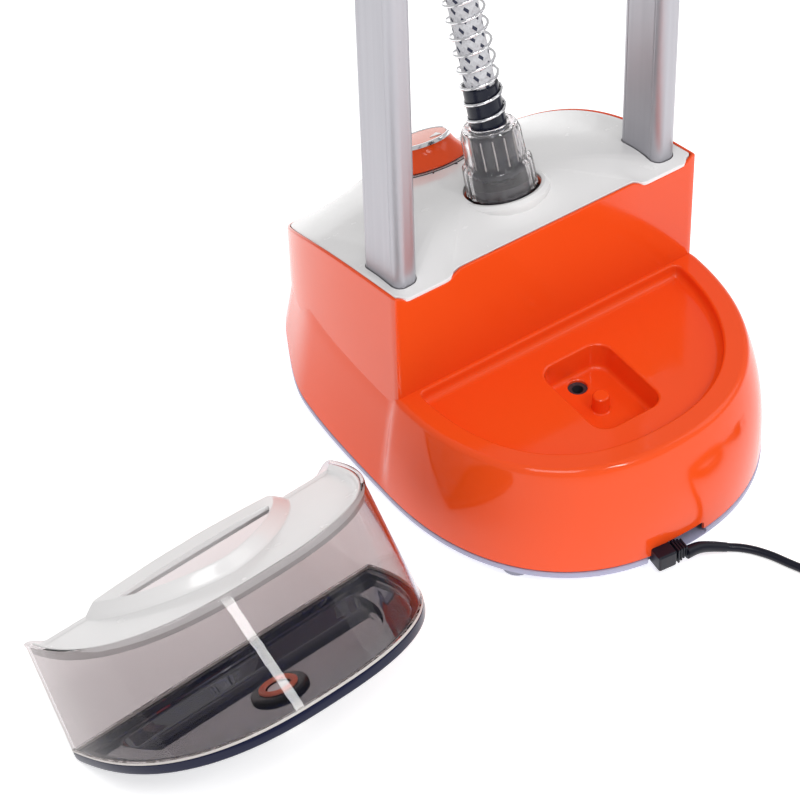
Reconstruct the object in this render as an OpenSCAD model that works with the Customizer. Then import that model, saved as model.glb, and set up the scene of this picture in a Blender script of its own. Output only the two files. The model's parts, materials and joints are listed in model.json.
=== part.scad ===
// Standing garment and wallpaper steamer with a lift-off water tank.
// The tank stands on the floor beside the base, tipped back on its valve.

/* [Base housing] */
// Width of the rear housing and of the tank seat
housing_w = 250; // [230:5:270]
// Height of the housing's front wall above the floor
housing_h = 188; // [180:1:200]
// Height of the rim of the tank seat above the floor
deck_h = 97; // [92:1:100]
// Reach of the tank seat in front of the housing
seat_reach = 140; // [130:2:150]
// Reach of the housing behind its front wall
housing_reach = 215; // [205:2:225]
// Wall of the moulded shells
wall = 2.2; // [1.8:0.1:2.6]
// Depth of the tank seat below its rim
recess_depth = 10; // [8:0.5:12]
// Depth of the sump below the tank seat
sump_depth = 22; // [20:0.5:24]
// Drop of the cover's pads at the feet of the poles
pad_drop = 6.5; // [4:0.5:8]
// Rise of the cover above its rim in the middle
crown = 8; // [4:1:10]

/* [Poles] */
// Distance of each pole from the middle
pole_x = 107; // [104:1:108]
// Distance of the poles behind the front wall
pole_y = 31; // [29:1:32]
// Width of an outer pole's oval section
pole_w = 18; // [17:0.5:19]
// Depth of an outer pole's oval section
pole_d = 42; // [40:0.5:43]
// Height of the top of the outer poles
outer_top = 720; // [680:10:760]
// Height of the underside of the top bar
bar_z = 1290; // [1250:10:1330]

/* [Controls and hose] */
// Backward lean of the hose collar
collar_lean = 19; // [15:1:22]
// Backward lean of the temperature knob
knob_lean = 30; // [27:1:33]
// Outer diameter of the steam hose
hose_d = 21; // [19:0.5:22]
// Outer diameter of the mains cord
cord_d = 6; // [5.6:0.2:6.4]

/* [Tank] */
// Half of the tank's width
tank_a = 124; // [120:1:126]
// Depth of the tank from its flat back, at its foot
tank_b = 137; // [132:1:139]
// Depth of the tank at its top, where its front leans back
tank_top = 106; // [100:1:137]
// Height of the tank's clear wall
tank_h = 89; // [84:1:94]
// Backward tip of the tank where it stands on the floor
tank_tip = 30.5; // [30:0.1:31]
// Turn of the tank about the vertical
tank_turn = 5; // [0:0.5:12]

/* [Hidden] */

// Where the base stands, so that the origin is under the middle of the whole set
base_x = 113;
base_y = -22.5;
// Gap between bodies that move past each other
gap = 0.4;
// Radial clearance of a turning pin in its bore
pin_gap = 0.05;
big = 400;

half_w = housing_w / 2;
foot_h = 8;
plate_h = 14;
skirt_w = half_w + 12.5;
rear_draw = 0.062;
skirt_front = seat_reach + 16;
skirt_back = housing_reach + 5;
recess_a = 110;
recess_front = 123;
recess_back = 3;
seat_rim = 2.5;
recess_z = deck_h - recess_depth;
sump_z = recess_z - sump_depth;
sump_w = 54;
sump_d = 72;
sump_y = -61;
drain_y = -35;
drain_d = 14;
peg_d = 12;
peg_h = 13;

collar_y = 52.7;
collar_z = 184.5;
collar_r = 25;
collar_top_r = 20.5;
collar_step = 22;
collar_h = 49;
cuff_r = 12.5;
cuff_top = 78;
knob_y = 141.3;
knob_z = 147.6;
knob_r = 30;
knob_top_r = 20;
knob_h = 17;

pole_r = 7;
pole_wall = 1.5;
inner_w = pole_w - 2 * (pole_wall + gap);
inner_d = pole_d - 2 * (pole_wall + gap);
inner_r = pole_r - pole_wall - gap;
inner_bottom = 640;
collar_z0 = outer_top - 30;
lever_pin_z = outer_top - 10;
lever_x = pole_x + pole_w / 2 + 9;
bar_h = 36;
arm_pin_x = 100;
arm_pin_z = bar_z + bar_h + 11;
head_y = -25;
cradle_t = 14;
cradle_z = bar_z + 11;

tank_x = -303;
tank_y = -58;
tank_n = 2.6;
tray_h = 8;
tray_t = 2.4;
lid_t = 2.5;
lid_z = tank_h - 5.5 - lid_t;
pod_h = 3.5;
valve_y = -61;
valve_r = 12;
valve_tip = -28.6;
stem_tip = -24;
plug_floor = -9;
valve_seat = plug_floor + tray_t + 0.4;

// ---- shapes made by a rule ----

function bend(v, p) = sign(v) * pow(abs(v), p);
function front_arc(a, b, n, k) =
    [for (i = [0:k]) let (t = 180 + 180 * i / k) [a * bend(cos(t), 2 / n), b * bend(sin(t), 2 / n)]];
function rear_arc(a, b, n, k) =
    [for (i = [0:k]) let (t = 180 * i / k) [a * bend(cos(t), 2 / n), b * bend(sin(t), 2 / n)]];
function inner_points(list) = [for (i = [1:len(list) - 2]) list[i]];
// A closed outline: a D in front of the chord and a rounder D behind it, drawn in at its rear corners
function drawn_in(p) = [p[0] * (1 - rear_draw * ramp(p[1], 110, 175)), p[1]];
function plan(a, front, back, nf, nb, k = 28) =
    concat(front_arc(a, front, nf, k), [for (p = inner_points(rear_arc(a, back, nb, k))) drawn_in(p)]);
function lift(outline, z) = [for (p = outline) [p[0], p[1], z]];
function ramp(v, lo, hi) = let (t = max(0, min(1, (v - lo) / (hi - lo)))) t * t * (3 - 2 * t);

// Height of the housing's rim, which falls away towards the back
function rim_z(y) = housing_h - 0.198 * max(y, 0) - 0.00000733 * pow(max(y, 0), 3);
// The pads round the poles, from 0 outside them to 1
function lobe(x) = ramp(abs(x), 70, 84) * (1 - ramp(abs(x), 113, 123));
function cover_z(x, y, s) =
    rim_z(y) + crown * (1 - pow(s, 4)) - (pad_drop - cover_t) * lobe(x) * max(0, 1 - y / 32);

// The body between rings that have the same number of points
module loft(rings) {
    n = len(rings[0]);
    m = len(rings);
    sides = [for (j = [0:m - 2], i = [0:n - 1])
        [j * n + i, (j + 1) * n + i, (j + 1) * n + (i + 1) % n, j * n + (i + 1) % n]];
    ends = [[for (i = [0:n - 1]) i], [for (i = [n - 1:-1:0]) (m - 1) * n + i]];
    polyhedron([for (r = rings) each r], concat(sides, ends), convexity = 6);
}

function unit(v) = v / norm(v);
function spline(a, b, c, d, t) = 0.5 * (2 * b + (c - a) * t + (2 * a - 5 * b + 4 * c - d) * t * t
    + (3 * b - a - 3 * c + d) * t * t * t);
function at(list, i) = list[max(0, min(len(list) - 1, i))];
function smooth(pts, k) = concat([for (i = [0:len(pts) - 2], j = [0:k - 1])
    spline(at(pts, i - 1), pts[i], pts[i + 1], at(pts, i + 2), j / k)], [pts[len(pts) - 1]]);

// A round tube along a route; side is a direction that the route never takes
module tube(route, r, side, sides = 8) {
    n = len(route);
    rings = [for (i = [0:n - 1])
        let (d = unit(at(route, i + 1) - at(route, i - 1)), u = unit(cross(side, d)), v = cross(d, u))
        [for (k = [0:sides - 1]) route[i] + r * (cos(360 * k / sides) * u + sin(360 * k / sides) * v)]];
    loft(rings);
}

module oval(w, d, r) {
    square([w - 2 * r, d], center = true);
    square([w, d - 2 * r], center = true);
    for (x = [-1, 1], y = [-1, 1])
        translate([x * (w / 2 - r), y * (d / 2 - r)])
            circle(r, $fn = 32);
}

module ring(outer, inner, z0, z1) {
    translate([0, 0, z0])
        difference() {
            cylinder(r = outer, h = z1 - z0, $fn = 64);
            translate([0, 0, -1])
                cylinder(r = inner, h = z1 - z0 + 2, $fn = 64);
        }
}

module at_base() { translate([base_x, base_y, 0]) children(); }
module at_collar() { at_base() translate([0, collar_y, collar_z]) rotate([-collar_lean, 0, 0]) children(); }
module at_knob() { at_base() translate([0, knob_y, knob_z]) rotate([-knob_lean, 0, 0]) children(); }
module at_pole(side) { at_base() translate([side * pole_x, pole_y, 0]) children(); }
module at_tank() {
    at_base() translate([tank_x, tank_y, 0]) rotate([0, 0, tank_turn]) rotate([-tank_tip, 0, 0]) children();
}
module at_head() { at_base() translate([0, head_y, 0]) children(); }

// ---- base ----

boiler_posts = [[-40, 60], [40, 60], [-40, 130], [40, 130]];
foot_spots = [[-96, -96], [96, -96], [-100, 130], [100, 130]];
screw_spots = [[-60, -138], [60, -138], [-131, 30], [131, 30], [-52, 211], [52, 211]];

module base_feet() {
    color("dimgray") at_base() for (p = foot_spots) translate([p[0], p[1], 0]) {
        cylinder(r = 11, h = foot_h, $fn = 48);
    }
}

// Slot in the front of the plate and skirt for the cord's bushing
module cord_slot() {
    translate([-29, -skirt_front - 12, foot_h - 1])
        cube([26, 19, 16.5]);
}

module base_plate() {
    color([0.62, 0.62, 0.75]) at_base() difference() {
        union() {
            translate([0, 0, foot_h])
                linear_extrude(plate_h - foot_h)
                    polygon(plan(skirt_w, skirt_front, skirt_back, 2.25, 3.2));
            for (p = boiler_posts) translate([p[0], p[1], plate_h - 1])
                cylinder(r = 5, h = 12, $fn = 32);
        }
        translate([0, 0, foot_h + 2])
            linear_extrude(plate_h)
                difference() {
                    polygon(plan(skirt_w - 3, skirt_front - 3, skirt_back - 3, 2.25, 3.2));
                    for (p = screw_spots) translate(p)
                        circle(r = 5, $fn = 32);
                    for (p = boiler_posts) translate(p)
                        circle(r = 5, $fn = 32);
                }
        for (p = screw_spots) translate([p[0], p[1], 0])
            cylinder(r = 2, h = 30, $fn = 32);
        translate([-4, -skirt_front - 5, plate_h - 3.5])
            cube([24, 12, 10]);
        cord_slot();
    }
}

module base_screws() {
    color("silver") at_base() for (p = screw_spots) translate([p[0], p[1], 0]) {
        translate([0, 0, foot_h - 2])
            difference() {
                cylinder(r = 3.6, h = 2, $fn = 32);
                translate([0, 0, -1]) cube([4, 0.9, 3.6], center = true);
                translate([0, 0, -1]) cube([0.9, 4, 3.6], center = true);
            }
        translate([0, 0, foot_h])
            cylinder(r = 2, h = plate_h - foot_h, $fn = 32);
    }
}

// Seat and side view of the body, drawn as [depth, height]
module side_profile(drop) {
    rotate([90, 0, 90])
        linear_extrude(big, center = true)
            polygon(concat([[-big / 2, 0], [-big / 2, deck_h - drop], [drop, deck_h - drop]],
                [for (y = [0:5:housing_reach + 15]) [max(y, drop), rim_z(y)]],
                [[housing_reach + 15, 0]]));
}

module body_skirt(inset, z0, z1) {
    heights = [z0, 40, 66, 82, 91, z1];
    grow = [0, 0.5, 2.5, 5.2, 7.2, 9];
    loft([for (i = [0:len(heights) - 1]) let (g = 9 - grow[i]) lift(plan(half_w + 1 + g * 1.28 - inset,
        seat_reach + g * 1.7 - inset, housing_reach + 1 + g * 0.6 - inset, 2.25, 3.2), heights[i])]);
}

module front_scoops() {
    for (s = [-1, 1]) scale([s, 1, 1])
        translate([0, 8, 0])
            rotate([90, 0, 0])
                linear_extrude(20)
                    polygon(concat([for (x = [70:2:124]) [x, housing_h - pad_drop * lobe(x)]],
                        [[124, housing_h + 9], [70, housing_h + 9]]));
}

module body_shell() {
    color([0.95, 0.35, 0.12]) at_base() difference() {
        union() {
            difference() {
                intersection() {
                    union() {
                        body_skirt(0, plate_h, deck_h);
                        translate([0, 0, deck_h - 20])
                            linear_extrude(housing_h - deck_h + 21)
                                polygon(concat([[-half_w, 0]], inner_points(front_arc(half_w, 0.4, 3, 8)),
                                    rear_arc(half_w, housing_reach, 3.14, 36)));
                    }
                    side_profile(0);
                }
                body_skirt(wall, plate_h - 1, recess_z - 3);
                translate([0, 0, recess_z - 8])
                    linear_extrude(big)
                        polygon(concat([[-half_w + wall, wall + 1], [half_w - wall, wall + 1]],
                            inner_points(rear_arc(half_w - wall, housing_reach - wall, 3.14, 36))));
            }
            for (p = screw_spots) translate([p[0], p[1], plate_h])
                cylinder(r = 4.6, h = 30, $fn = 32);
        }
        seat_block(seat_rim + 0.3, recess_z - 10, 40);
        for (p = screw_spots) translate([p[0], p[1], plate_h - 1])
            cylinder(r = 1.6, h = 22, $fn = 32);
        front_scoops();
        translate([8, -skirt_front + 8, plate_h - 1])
            cube([24, 30, 10], center = true);
        cord_slot();
    }
}

// The outline of the recess, larger all round by grow
module seat_block(grow, z0, h) {
    translate([0, 0, z0])
        linear_extrude(h)
            intersection() {
                polygon(front_arc(recess_a + grow, recess_front + grow, 2.3, 40));
                translate([-big / 2, -big - recess_back + grow]) square(big);
            }
}

module tank_seat() {
    color([0.9, 0.3, 0.1]) at_base() difference() {
        seat_block(seat_rim, recess_z - 3, recess_depth + 3);
        seat_block(0, recess_z, 30);
        translate([0, sump_y, recess_z - 10])
            linear_extrude(30)
                oval(sump_w + 5.6, sump_d + 5.6, 14.8);
    }
}

module sump_cup() {
    color([0.85, 0.28, 0.1]) at_base() {
        difference() {
            translate([0, sump_y, sump_z - 2.5])
                linear_extrude(recess_z - sump_z + 2.5)
                    oval(sump_w + 5, sump_d + 5, 14.5);
            translate([0, sump_y, sump_z])
                linear_extrude(60)
                    oval(sump_w, sump_d, 12);
            translate([0, drain_y, sump_z - 10])
                cylinder(r = drain_d / 2, h = 30, $fn = 48);
        }
        translate([0, sump_y, sump_z - 1])
            cylinder(r = peg_d / 2, h = peg_h + 1, $fn = 48);
    }
}

// The cover is a thin crowned sheet inside the housing's rim
cover_in = wall + 0.3;
cover_mid = [0, 92];
cover_t = 2.5;
function cover_outline(s) = let (c = cover_mid,
    o = concat([for (i = [0:32]) let (x = -half_w + cover_in + (housing_w - 2 * cover_in) * i / 32)
            [x, abs(x) > 86 && abs(x) < 113 ? 0.2 : wall + 1]],
        inner_points(rear_arc(half_w - cover_in, housing_reach - cover_in, 3.14, 34))))
    [for (p = o) c + s * (p - c)];
cover_steps = [1, 0.97, 0.9, 0.8, 0.65, 0.45, 0.2];

// A sheet between two stacks of rings that close on a middle point each
module sheet(top, low, top_mid, low_mid) {
    n = len(top[0]);
    m = len(top);
    t0 = m * n;
    pts = concat([for (r = top) each r], [for (r = low) each r], [top_mid, low_mid]);
    faces = concat(
        [for (j = [0:m - 2], i = [0:n - 1]) let (k = (i + 1) % n)
            each [[j * n + i, (j + 1) * n + i, (j + 1) * n + k], [j * n + i, (j + 1) * n + k, j * n + k]]],
        [for (j = [0:m - 2], i = [0:n - 1]) let (k = (i + 1) % n)
            each [[t0 + j * n + i, t0 + (j + 1) * n + k, t0 + (j + 1) * n + i],
                [t0 + j * n + i, t0 + j * n + k, t0 + (j + 1) * n + k]]],
        [for (i = [0:n - 1]) let (k = (i + 1) % n) each [[i, k, t0 + k], [i, t0 + k, t0 + i]]],
        [for (i = [0:n - 1]) let (k = (i + 1) % n) each
            [[(m - 1) * n + i, 2 * t0, (m - 1) * n + k],
                [t0 + (m - 1) * n + k, 2 * t0 + 1, t0 + (m - 1) * n + i]]]);
    polyhedron(pts, faces, convexity = 6);
}

module top_cover() {
    top = [for (s = cover_steps) [for (p = cover_outline(s)) [p[0], p[1], cover_z(p[0], p[1], s)]]];
    low = [for (r = top) [for (p = r) p - [0, 0, cover_t]]];
    mid = [0, cover_mid[1], cover_z(0, cover_mid[1], 0)];
    color("whitesmoke") difference() {
        union() {
            at_base() sheet(top, low, mid, mid - [0, 0, cover_t]);
            at_collar() ring(30.5, 20, -9, 0.4);
            at_knob() ring(13, 4, -16, -1);
        }
        at_collar() translate([0, 0, -20])
            cylinder(r = 28, h = 60, $fn = 64);
        at_knob() translate([0, 0, -30])
            cylinder(r = 4, h = 60, $fn = 48);
        for (s = [-1, 1]) at_pole(s) translate([0, 0, 100])
            linear_extrude(200)
                oval(pole_w + 1.2, pole_d + 1.2, pole_r + 0.6);
    }
}

module pole_sockets() {
    color("gray") for (s = [-1, 1]) at_pole(s) {
        translate([0, 0, plate_h])
            linear_extrude(6)
                oval(pole_w + 6, pole_d + 6, pole_r + 3);
        translate([0, 0, plate_h])
            linear_extrude(130)
                difference() {
                    oval(pole_w + 6, pole_d + 6, pole_r + 3);
                    oval(pole_w, pole_d, pole_r);
                }
    }
}

module outer_pole(side) {
    color([0.75, 0.74, 0.77]) at_pole(side) translate([0, 0, plate_h + 6])
        linear_extrude(outer_top - plate_h - 6)
            difference() {
                oval(pole_w, pole_d, pole_r);
                oval(pole_w - 2 * pole_wall, pole_d - 2 * pole_wall, pole_r - pole_wall);
            }
}

// A clamp collar round the top of an outer pole, with ears for its lever
module pole_collar(side) {
    color("dimgray") at_pole(side) difference() {
        union() {
            translate([0, 0, collar_z0])
                linear_extrude(34)
                    oval(pole_w + 7, pole_d + 7, pole_r + 3.5);
            for (y = [-12, 12]) translate([side * (pole_w / 2 + 8), y, lever_pin_z])
                cube([13, 3, 12], center = true);
            translate([side * (pole_w / 2 + 9), -13, lever_pin_z])
                rotate([-90, 0, 0]) cylinder(r = 2, h = 26, $fn = 32);
        }
        translate([0, 0, collar_z0 - 1])
            linear_extrude(31)
                oval(pole_w, pole_d, pole_r);
        translate([0, 0, collar_z0 - 1])
            linear_extrude(60)
                oval(inner_w + 2 * gap, inner_d + 2 * gap, inner_r + gap);
    }
}

module lock_lever(side) {
    color("orangered") at_pole(side) translate([side * (pole_w / 2 + 9), 0, lever_pin_z]) difference() {
        union() {
            rotate([90, 0, 0]) cylinder(r = 4.4, h = 20, center = true, $fn = 48);
            translate([side * 2.4, 0, -17]) cube([4, 20, 34], center = true);
        }
        rotate([90, 0, 0]) cylinder(r = 2 + pin_gap, h = 30, center = true, $fn = 48);
    }
}

// ---- hose outlet and collar ----

module hose_seal_ring() { color("orangered") at_collar() ring(28, collar_r + 0.7, -7, 0.8); }
module outlet_o_ring() { color("black") at_collar() ring(13.4, 11, 10, 13); }
module steam_outlet() {
    color("dimgray") at_collar() {
        ring(collar_r + 0.5, 6, -9.5, -7.5);
        ring(21.9, 6, -7.5, 8);
        ring(11, 6, 8, 18);
        ring(9, 6, -34, -9.5);
    }
}

module hose_end_fitting() {
    color([0.08, 0.09, 0.16]) at_collar() {
        rotate_extrude($fn = 64)
            polygon([[13.6, 14], [19, 14], [19, 18.5], [15, 18.5], [15, 43], [cuff_r, 43],
                [cuff_r, cuff_top], [hose_d / 2, cuff_top], [hose_d / 2, 58], [6, 58], [6, 18.2],
                [13.6, 18.2]]);
        for (i = [0:11]) rotate(30 * i + 7) translate([14.8, 0, 31])
            cube([2, 2.2, 22], center = true);
    }
}

// Clear collar nut in two steps, ribbed on the lower one
module hose_nut() {
    color([0.85, 0.82, 0.82, 0.5]) at_collar() difference() {
        union() {
            rotate_extrude($fn = 96)
                polygon([[22, 0.6], [collar_r - 1, 0.6], [collar_r - 0.8, 1], [collar_r - 1.2, collar_step - 3],
                    [collar_r - 3, collar_step], [collar_top_r + 0.4, collar_step + 1],
                    [collar_top_r, collar_h - 7], [collar_top_r - 1.5, collar_h - 2.5], [17, collar_h],
                    [13.1, collar_h], [13.1, collar_h - 3], [17.4, collar_h - 3.4], [17.4, 20],
                    [21.95, 19]]);
            for (i = [0:23]) rotate(15 * i) translate([collar_r - 1.2, 0, 10])
                cylinder(r = 1, h = 17, center = true, $fn = 16);
        }
        translate([0, 0, -1]) cylinder(r = 21.95, h = 20, $fn = 64);
    }
}

// ---- knob and switch ----

module knob_skirt() {
    color([0.93, 0.3, 0.1]) at_knob() difference() {
        rotate_extrude($fn = 96)
            polygon(concat([[0, 0.5]], [for (i = [0:8]) let (t = i / 8)
                [knob_top_r + 1 + (knob_r - knob_top_r - 1) * pow(1 - t, 1.6), 0.5 + (knob_h - 2) * t]],
                [[0, knob_h - 1.5]]));
        translate([0, 0, -1]) cylinder(r = 3, h = 12, $fn = 48);
    }
}
module knob_cap() { color([1, 0.6, 0.5]) at_knob() translate([0, 0, knob_h - 1.5]) cylinder(r = 18.6, h = 2.5, $fn = 96); }
module knob_ring() {
    color("silver") at_knob() ring(knob_top_r + 1, 18.6, knob_h - 1.5, knob_h + 1.2);
}
module rotary_switch() {
    color("dimgray") at_knob() {
        translate([0, 0, -38]) cylinder(r = 15, h = 20, $fn = 64);
        translate([0, 0, -18]) cylinder(r = 6, h = 2, $fn = 48);
        translate([0, 0, -16]) cylinder(r = 3 - pin_gap, h = 24, $fn = 48);
        for (x = [-8, 8]) translate([x, 0, -42]) cube([6, 0.8, 8], center = true);
    }
}

// ---- boiler ----

boiler_y = 95;
module at_boiler() { at_base() translate([0, boiler_y, 0]) children(); }

module boiler_body() {
    color("lightgray") at_boiler() difference() {
        translate([0, 0, 25]) cylinder(r = 52, h = 32, $fn = 96);
        translate([0, 0, 30]) cylinder(r = 42, h = 40, $fn = 96);
        for (i = [0:5]) rotate(60 * i) translate([47, 0, 45]) cylinder(r = 1.6, h = 30, $fn = 24);
        translate([0, 0, 25]) rotate_extrude($fn = 96) translate([34, 0]) circle(4.1, $fn = 32);
    }
}
module boiler_gasket() { color("firebrick") at_boiler() ring(44.5, 42, 57, 59); }
module boiler_lid() {
    color("silver") at_boiler() difference() {
        union() {
            translate([0, 0, 59]) cylinder(r = 52, h = 4, $fn = 96);
            translate([0, 0, 57]) difference() {
                cylinder(r = 52, h = 2.1, $fn = 96);
                translate([0, 0, -1]) cylinder(r = 44.5, h = 5, $fn = 96);
            }
            translate([0, -30, 63]) cylinder(r = 7, h = 8, $fn = 48);
        }
        translate([0, -30, 50]) cylinder(r = 4, h = 40, $fn = 48);
        for (i = [0:5]) rotate(60 * i) translate([47, 0, 45]) cylinder(r = 1.6, h = 30, $fn = 24);
    }
}
module boiler_screws() {
    color("gray") at_boiler() for (i = [0:5]) rotate(60 * i) translate([47, 0, 0]) {
        translate([0, 0, 46]) cylinder(r = 1.6, h = 17, $fn = 24);
        translate([0, 0, 63]) cylinder(r = 3, h = 2, $fn = 6);
    }
}
module heater_element() {
    color("silver") at_boiler() {
        translate([0, 0, 25]) rotate_extrude(angle = 300, $fn = 96) translate([34, 0]) circle(4, $fn = 32);
        for (a = [0, 300]) rotate(a) translate([34, 0, 25]) rotate([a == 0 ? 90 : -90, 0, 0])
            cylinder(r = 2, h = 12, $fn = 24);
    }
}
module thermostat() {
    color("black") at_boiler() {
        translate([22, 10, 63]) cylinder(r = 8, h = 8, $fn = 48);
        for (x = [17, 27]) translate([x, 10, 74]) cube([5, 0.8, 6], center = true);
    }
}
module thermal_fuse() {
    color("white") at_boiler() translate([-22, 10, 66])
        rotate([90, 0, 0]) cylinder(r = 3, h = 22, center = true, $fn = 32);
}
module inlet_fitting() {
    color("gray") at_base() translate([0, drain_y, 0]) {
        ring(9.5, 4, sump_z - 6.5, sump_z - 2.5);
        ring(5.5, 4, sump_z - 20, sump_z - 6.5);
    }
}
inlet_route = [[0, -35, 45], [0, -34, 34], [0, -22, 26], [0, 0, 26], [0, 20, 34], [0, 36, 40], [0, 43.5, 41]];
module inlet_tube() { color("white") at_base() tube(smooth(inlet_route, 3), 5, [1, 0, 0], 8); }
steam_route = [[0, 65, 71], [0, 63, 84], [0, 50, 100], [0, 37, 117], [0, 35, 133], [0, 41.6, 152.3]];
module steam_pipe() { color("white") at_base() tube(smooth(steam_route, 3), 6, [1, 0, 0], 8); }
module terminal_block() {
    color("ivory") at_base() translate([-70, 40, plate_h - 4]) difference() {
        translate([0, 0, 8]) cube([34, 22, 16], center = true);
        for (x = [-11, 0, 11]) translate([x, 0, 4]) cylinder(r = 3, h = 20, $fn = 32);
    }
}

// ---- mains cord ----

cord_exit = [-4, -163.5, 12.5];
cord_route = [[-4, -163.5, 12.5], [6, -164, 11.5], [16, -166, 8], [26, -170, 4.5], [36, -177, 3], [45, -190, 3],
    [52, -206, 3], [59, -222, 3], [67, -240, 3], [76, -258, 3], [84, -273, 3]];
coil_spot = [120, -258];
coil_r = 33;
coil_half = 9;
coil_h = 18;
lead_route = [[159, -258, 15], [159.5, -248, 14.5], [161, -237, 12], [164, -226, 9], [168, -215, 8]];
plug_spot = [168, -215, 8];
plug_turn = 70;

module cord_bushing() {
    color("black") at_base() {
        translate([-20, -158.5, 15]) rotate([0, 0, -6]) {
            cube([15, 14, 14], center = true);
            for (i = [0:3]) translate([9 + i * 2.2, 0, 0]) cube([1.4, 12.4 - i * 0.8, 12.4 - i * 0.8], center = true);
            translate([12, 0, 0]) cube([9, 9, 9], center = true);
        }
        translate([-12, -skirt_front + 9.5, plate_h + 2]) cube([28, 13, 4], center = true);
        translate([8, -skirt_front + 12, plate_h]) rotate([0, 90, 0])
            cylinder(r = 3.6, h = 18, center = true, $fn = 32);
    }
}
module cord_clamp() {
    color("gray") at_base() translate([-30, -110, foot_h + 2]) {
        translate([0, 0, 5]) cube([22, 12, 10], center = true);
        translate([0, 0, 11]) cube([22, 18, 3], center = true);
    }
}
module mains_cord() {
    color([0.07, 0.07, 0.12]) at_base() {
        tube(smooth(cord_route, 2), cord_d / 2, [0, 0, 1], 8);
        tube(smooth(lead_route, 2), cord_d / 2, [0, 0, 1], 8);
    }
}
module mains_coil() {
    color([0.07, 0.07, 0.12]) at_base() translate([coil_spot[0], coil_spot[1], 0])
        ring(coil_r + coil_half, coil_r - coil_half, 0, coil_h);
}
module mains_plug() {
    color("black") at_base() translate(plug_spot) rotate([0, 0, plug_turn]) rotate([0, 90, 0]) {
        cylinder(r1 = 4, r2 = 7.5, h = 18, $fn = 48);
        translate([0, 0, 18])
            linear_extrude(22)
                oval(16, 26, 6);
    }
}
module plug_pins() {
    color("silver") at_base() translate(plug_spot) rotate([0, 0, plug_turn]) rotate([0, 90, 0])
        for (y = [-9.5, 9.5]) translate([0, y, 40]) cylinder(r = 2, h = 19, $fn = 32);
}

// ---- steam hose ----

hose_route = [[0, 71.5, 239.3], [0, 79, 261], [0, 94, 305], [0, 110, 352], [0, 126, 400], [0, 141, 450],
    [0, 153, 505], [0, 162, 565], [0, 166, 630], [0, 165, 700], [0, 159, 770], [0, 147, 840],
    [0, 129, 905], [0, 106, 962], [0, 77, 1016], [0, 45, 1063], [0, 14, 1104], [0, -9, 1140],
    [0, -21, 1168], [0, -25, 1195], [0, -25, 1225], [0, -25, 1272]];
spring_end = 9;
module steam_hose() {
    color([0.8, 0.8, 0.83]) at_base() tube(smooth(hose_route, 1), hose_d / 2, [1, 0, 0], 12);
}
module hose_spring() {
    route = smooth([for (i = [1:spring_end]) hose_route[i]], 2);
    color("silver") at_base() difference() {
        tube(route, 14.5, [1, 0, 0], 12);
        tube(concat([route[0] - [0, 1.6, 4.7]], route, [route[len(route) - 1] + [0, -0.4, 5]]),
            hose_d / 2 + 0.9, [1, 0, 0], 12);
    }
}

// ---- upper poles, bar and hanger ----

module inner_pole(side) {
    color([0.8, 0.8, 0.83]) at_pole(side) translate([0, 0, inner_bottom])
        linear_extrude(bar_z + 20 - inner_bottom)
            difference() {
                oval(inner_w, inner_d, inner_r);
                oval(inner_w - 2.4, inner_d - 2.4, inner_r - 1.2);
            }
}

module top_bar() {
    color("white") at_base() difference() {
        union() {
            translate([0, pole_y, bar_z + bar_h / 2])
                rotate([90, 0, 90])
                    linear_extrude(2 * pole_x + 34, center = true)
                        oval(50, bar_h, 12);
            for (s = [-1, 1], y = [-10.6, 10.6]) translate([s * arm_pin_x, pole_y + y, bar_z + bar_h + 4])
                cube([22, 4, 26], center = true);
            for (s = [-1, 1]) translate([s * arm_pin_x, pole_y - 12, arm_pin_z])
                rotate([-90, 0, 0]) cylinder(r = 3, h = 24, $fn = 32);
        }
        for (s = [-1, 1]) translate([s * pole_x, pole_y, bar_z - 1])
            linear_extrude(21)
                oval(inner_w, inner_d, inner_r);
        translate([0, pole_y, bar_z + bar_h / 2])
            rotate([90, 0, 90])
                linear_extrude(2 * pole_x - 40, center = true)
                    oval(50 - 6, bar_h - 6, 9);
    }
}

module hanger_arm(side) {
    color("white") at_base() translate([side * arm_pin_x, pole_y, arm_pin_z]) difference() {
        union() {
            rotate([90, 0, 0]) cylinder(r = 7.4, h = 16, center = true, $fn = 48);
            rotate([0, side * 12, 0]) translate([side * 50, 0, 0])
                cube([100, 14, 9], center = true);
            rotate([0, side * 12, 0]) translate([side * 100, 0, 0])
                rotate([90, 0, 0]) cylinder(r = 7, h = 14, center = true, $fn = 48);
        }
        rotate([90, 0, 0]) cylinder(r = 3 + pin_gap, h = 30, center = true, $fn = 48);
    }
}

module head_cradle() {
    color("dimgray") at_base() difference() {
        translate([0, 0, cradle_z])
            linear_extrude(cradle_t)
                union() {
                    translate([-25, head_y]) square([50, pole_y - 25 - head_y]);
                    translate([0, head_y]) circle(r = 25, $fn = 64);
                }
        translate([0, head_y, cradle_z - 1]) cylinder(r = 17, h = 30, $fn = 64);
        translate([-17, head_y - 40, cradle_z - 1]) cube([34, 40, 30]);
    }
}

// ---- steam head ----

head_z = cradle_z + cradle_t + gap;

module head_handle() {
    color("white") at_head() difference() {
        union() {
            translate([0, 0, head_z - 120]) cylinder(r = 16, h = 120, $fn = 64);
            translate([0, 0, head_z]) cylinder(r = 23, h = 5, $fn = 64);
            translate([0, 0, head_z + 5]) cylinder(r = 16, h = 12, $fn = 64);
        }
        translate([0, 0, head_z - 121]) cylinder(r = hose_d / 2 + 1, h = 82, $fn = 64);
        translate([0, 0, head_z - 41]) cylinder(r = 7, h = 90, $fn = 48);
    }
}

module head_outline(w0, w1, h) {
    polygon([[-w0 / 2, 0], [w0 / 2, 0], [w1 / 2, h], [-w1 / 2, h]]);
}
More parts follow.
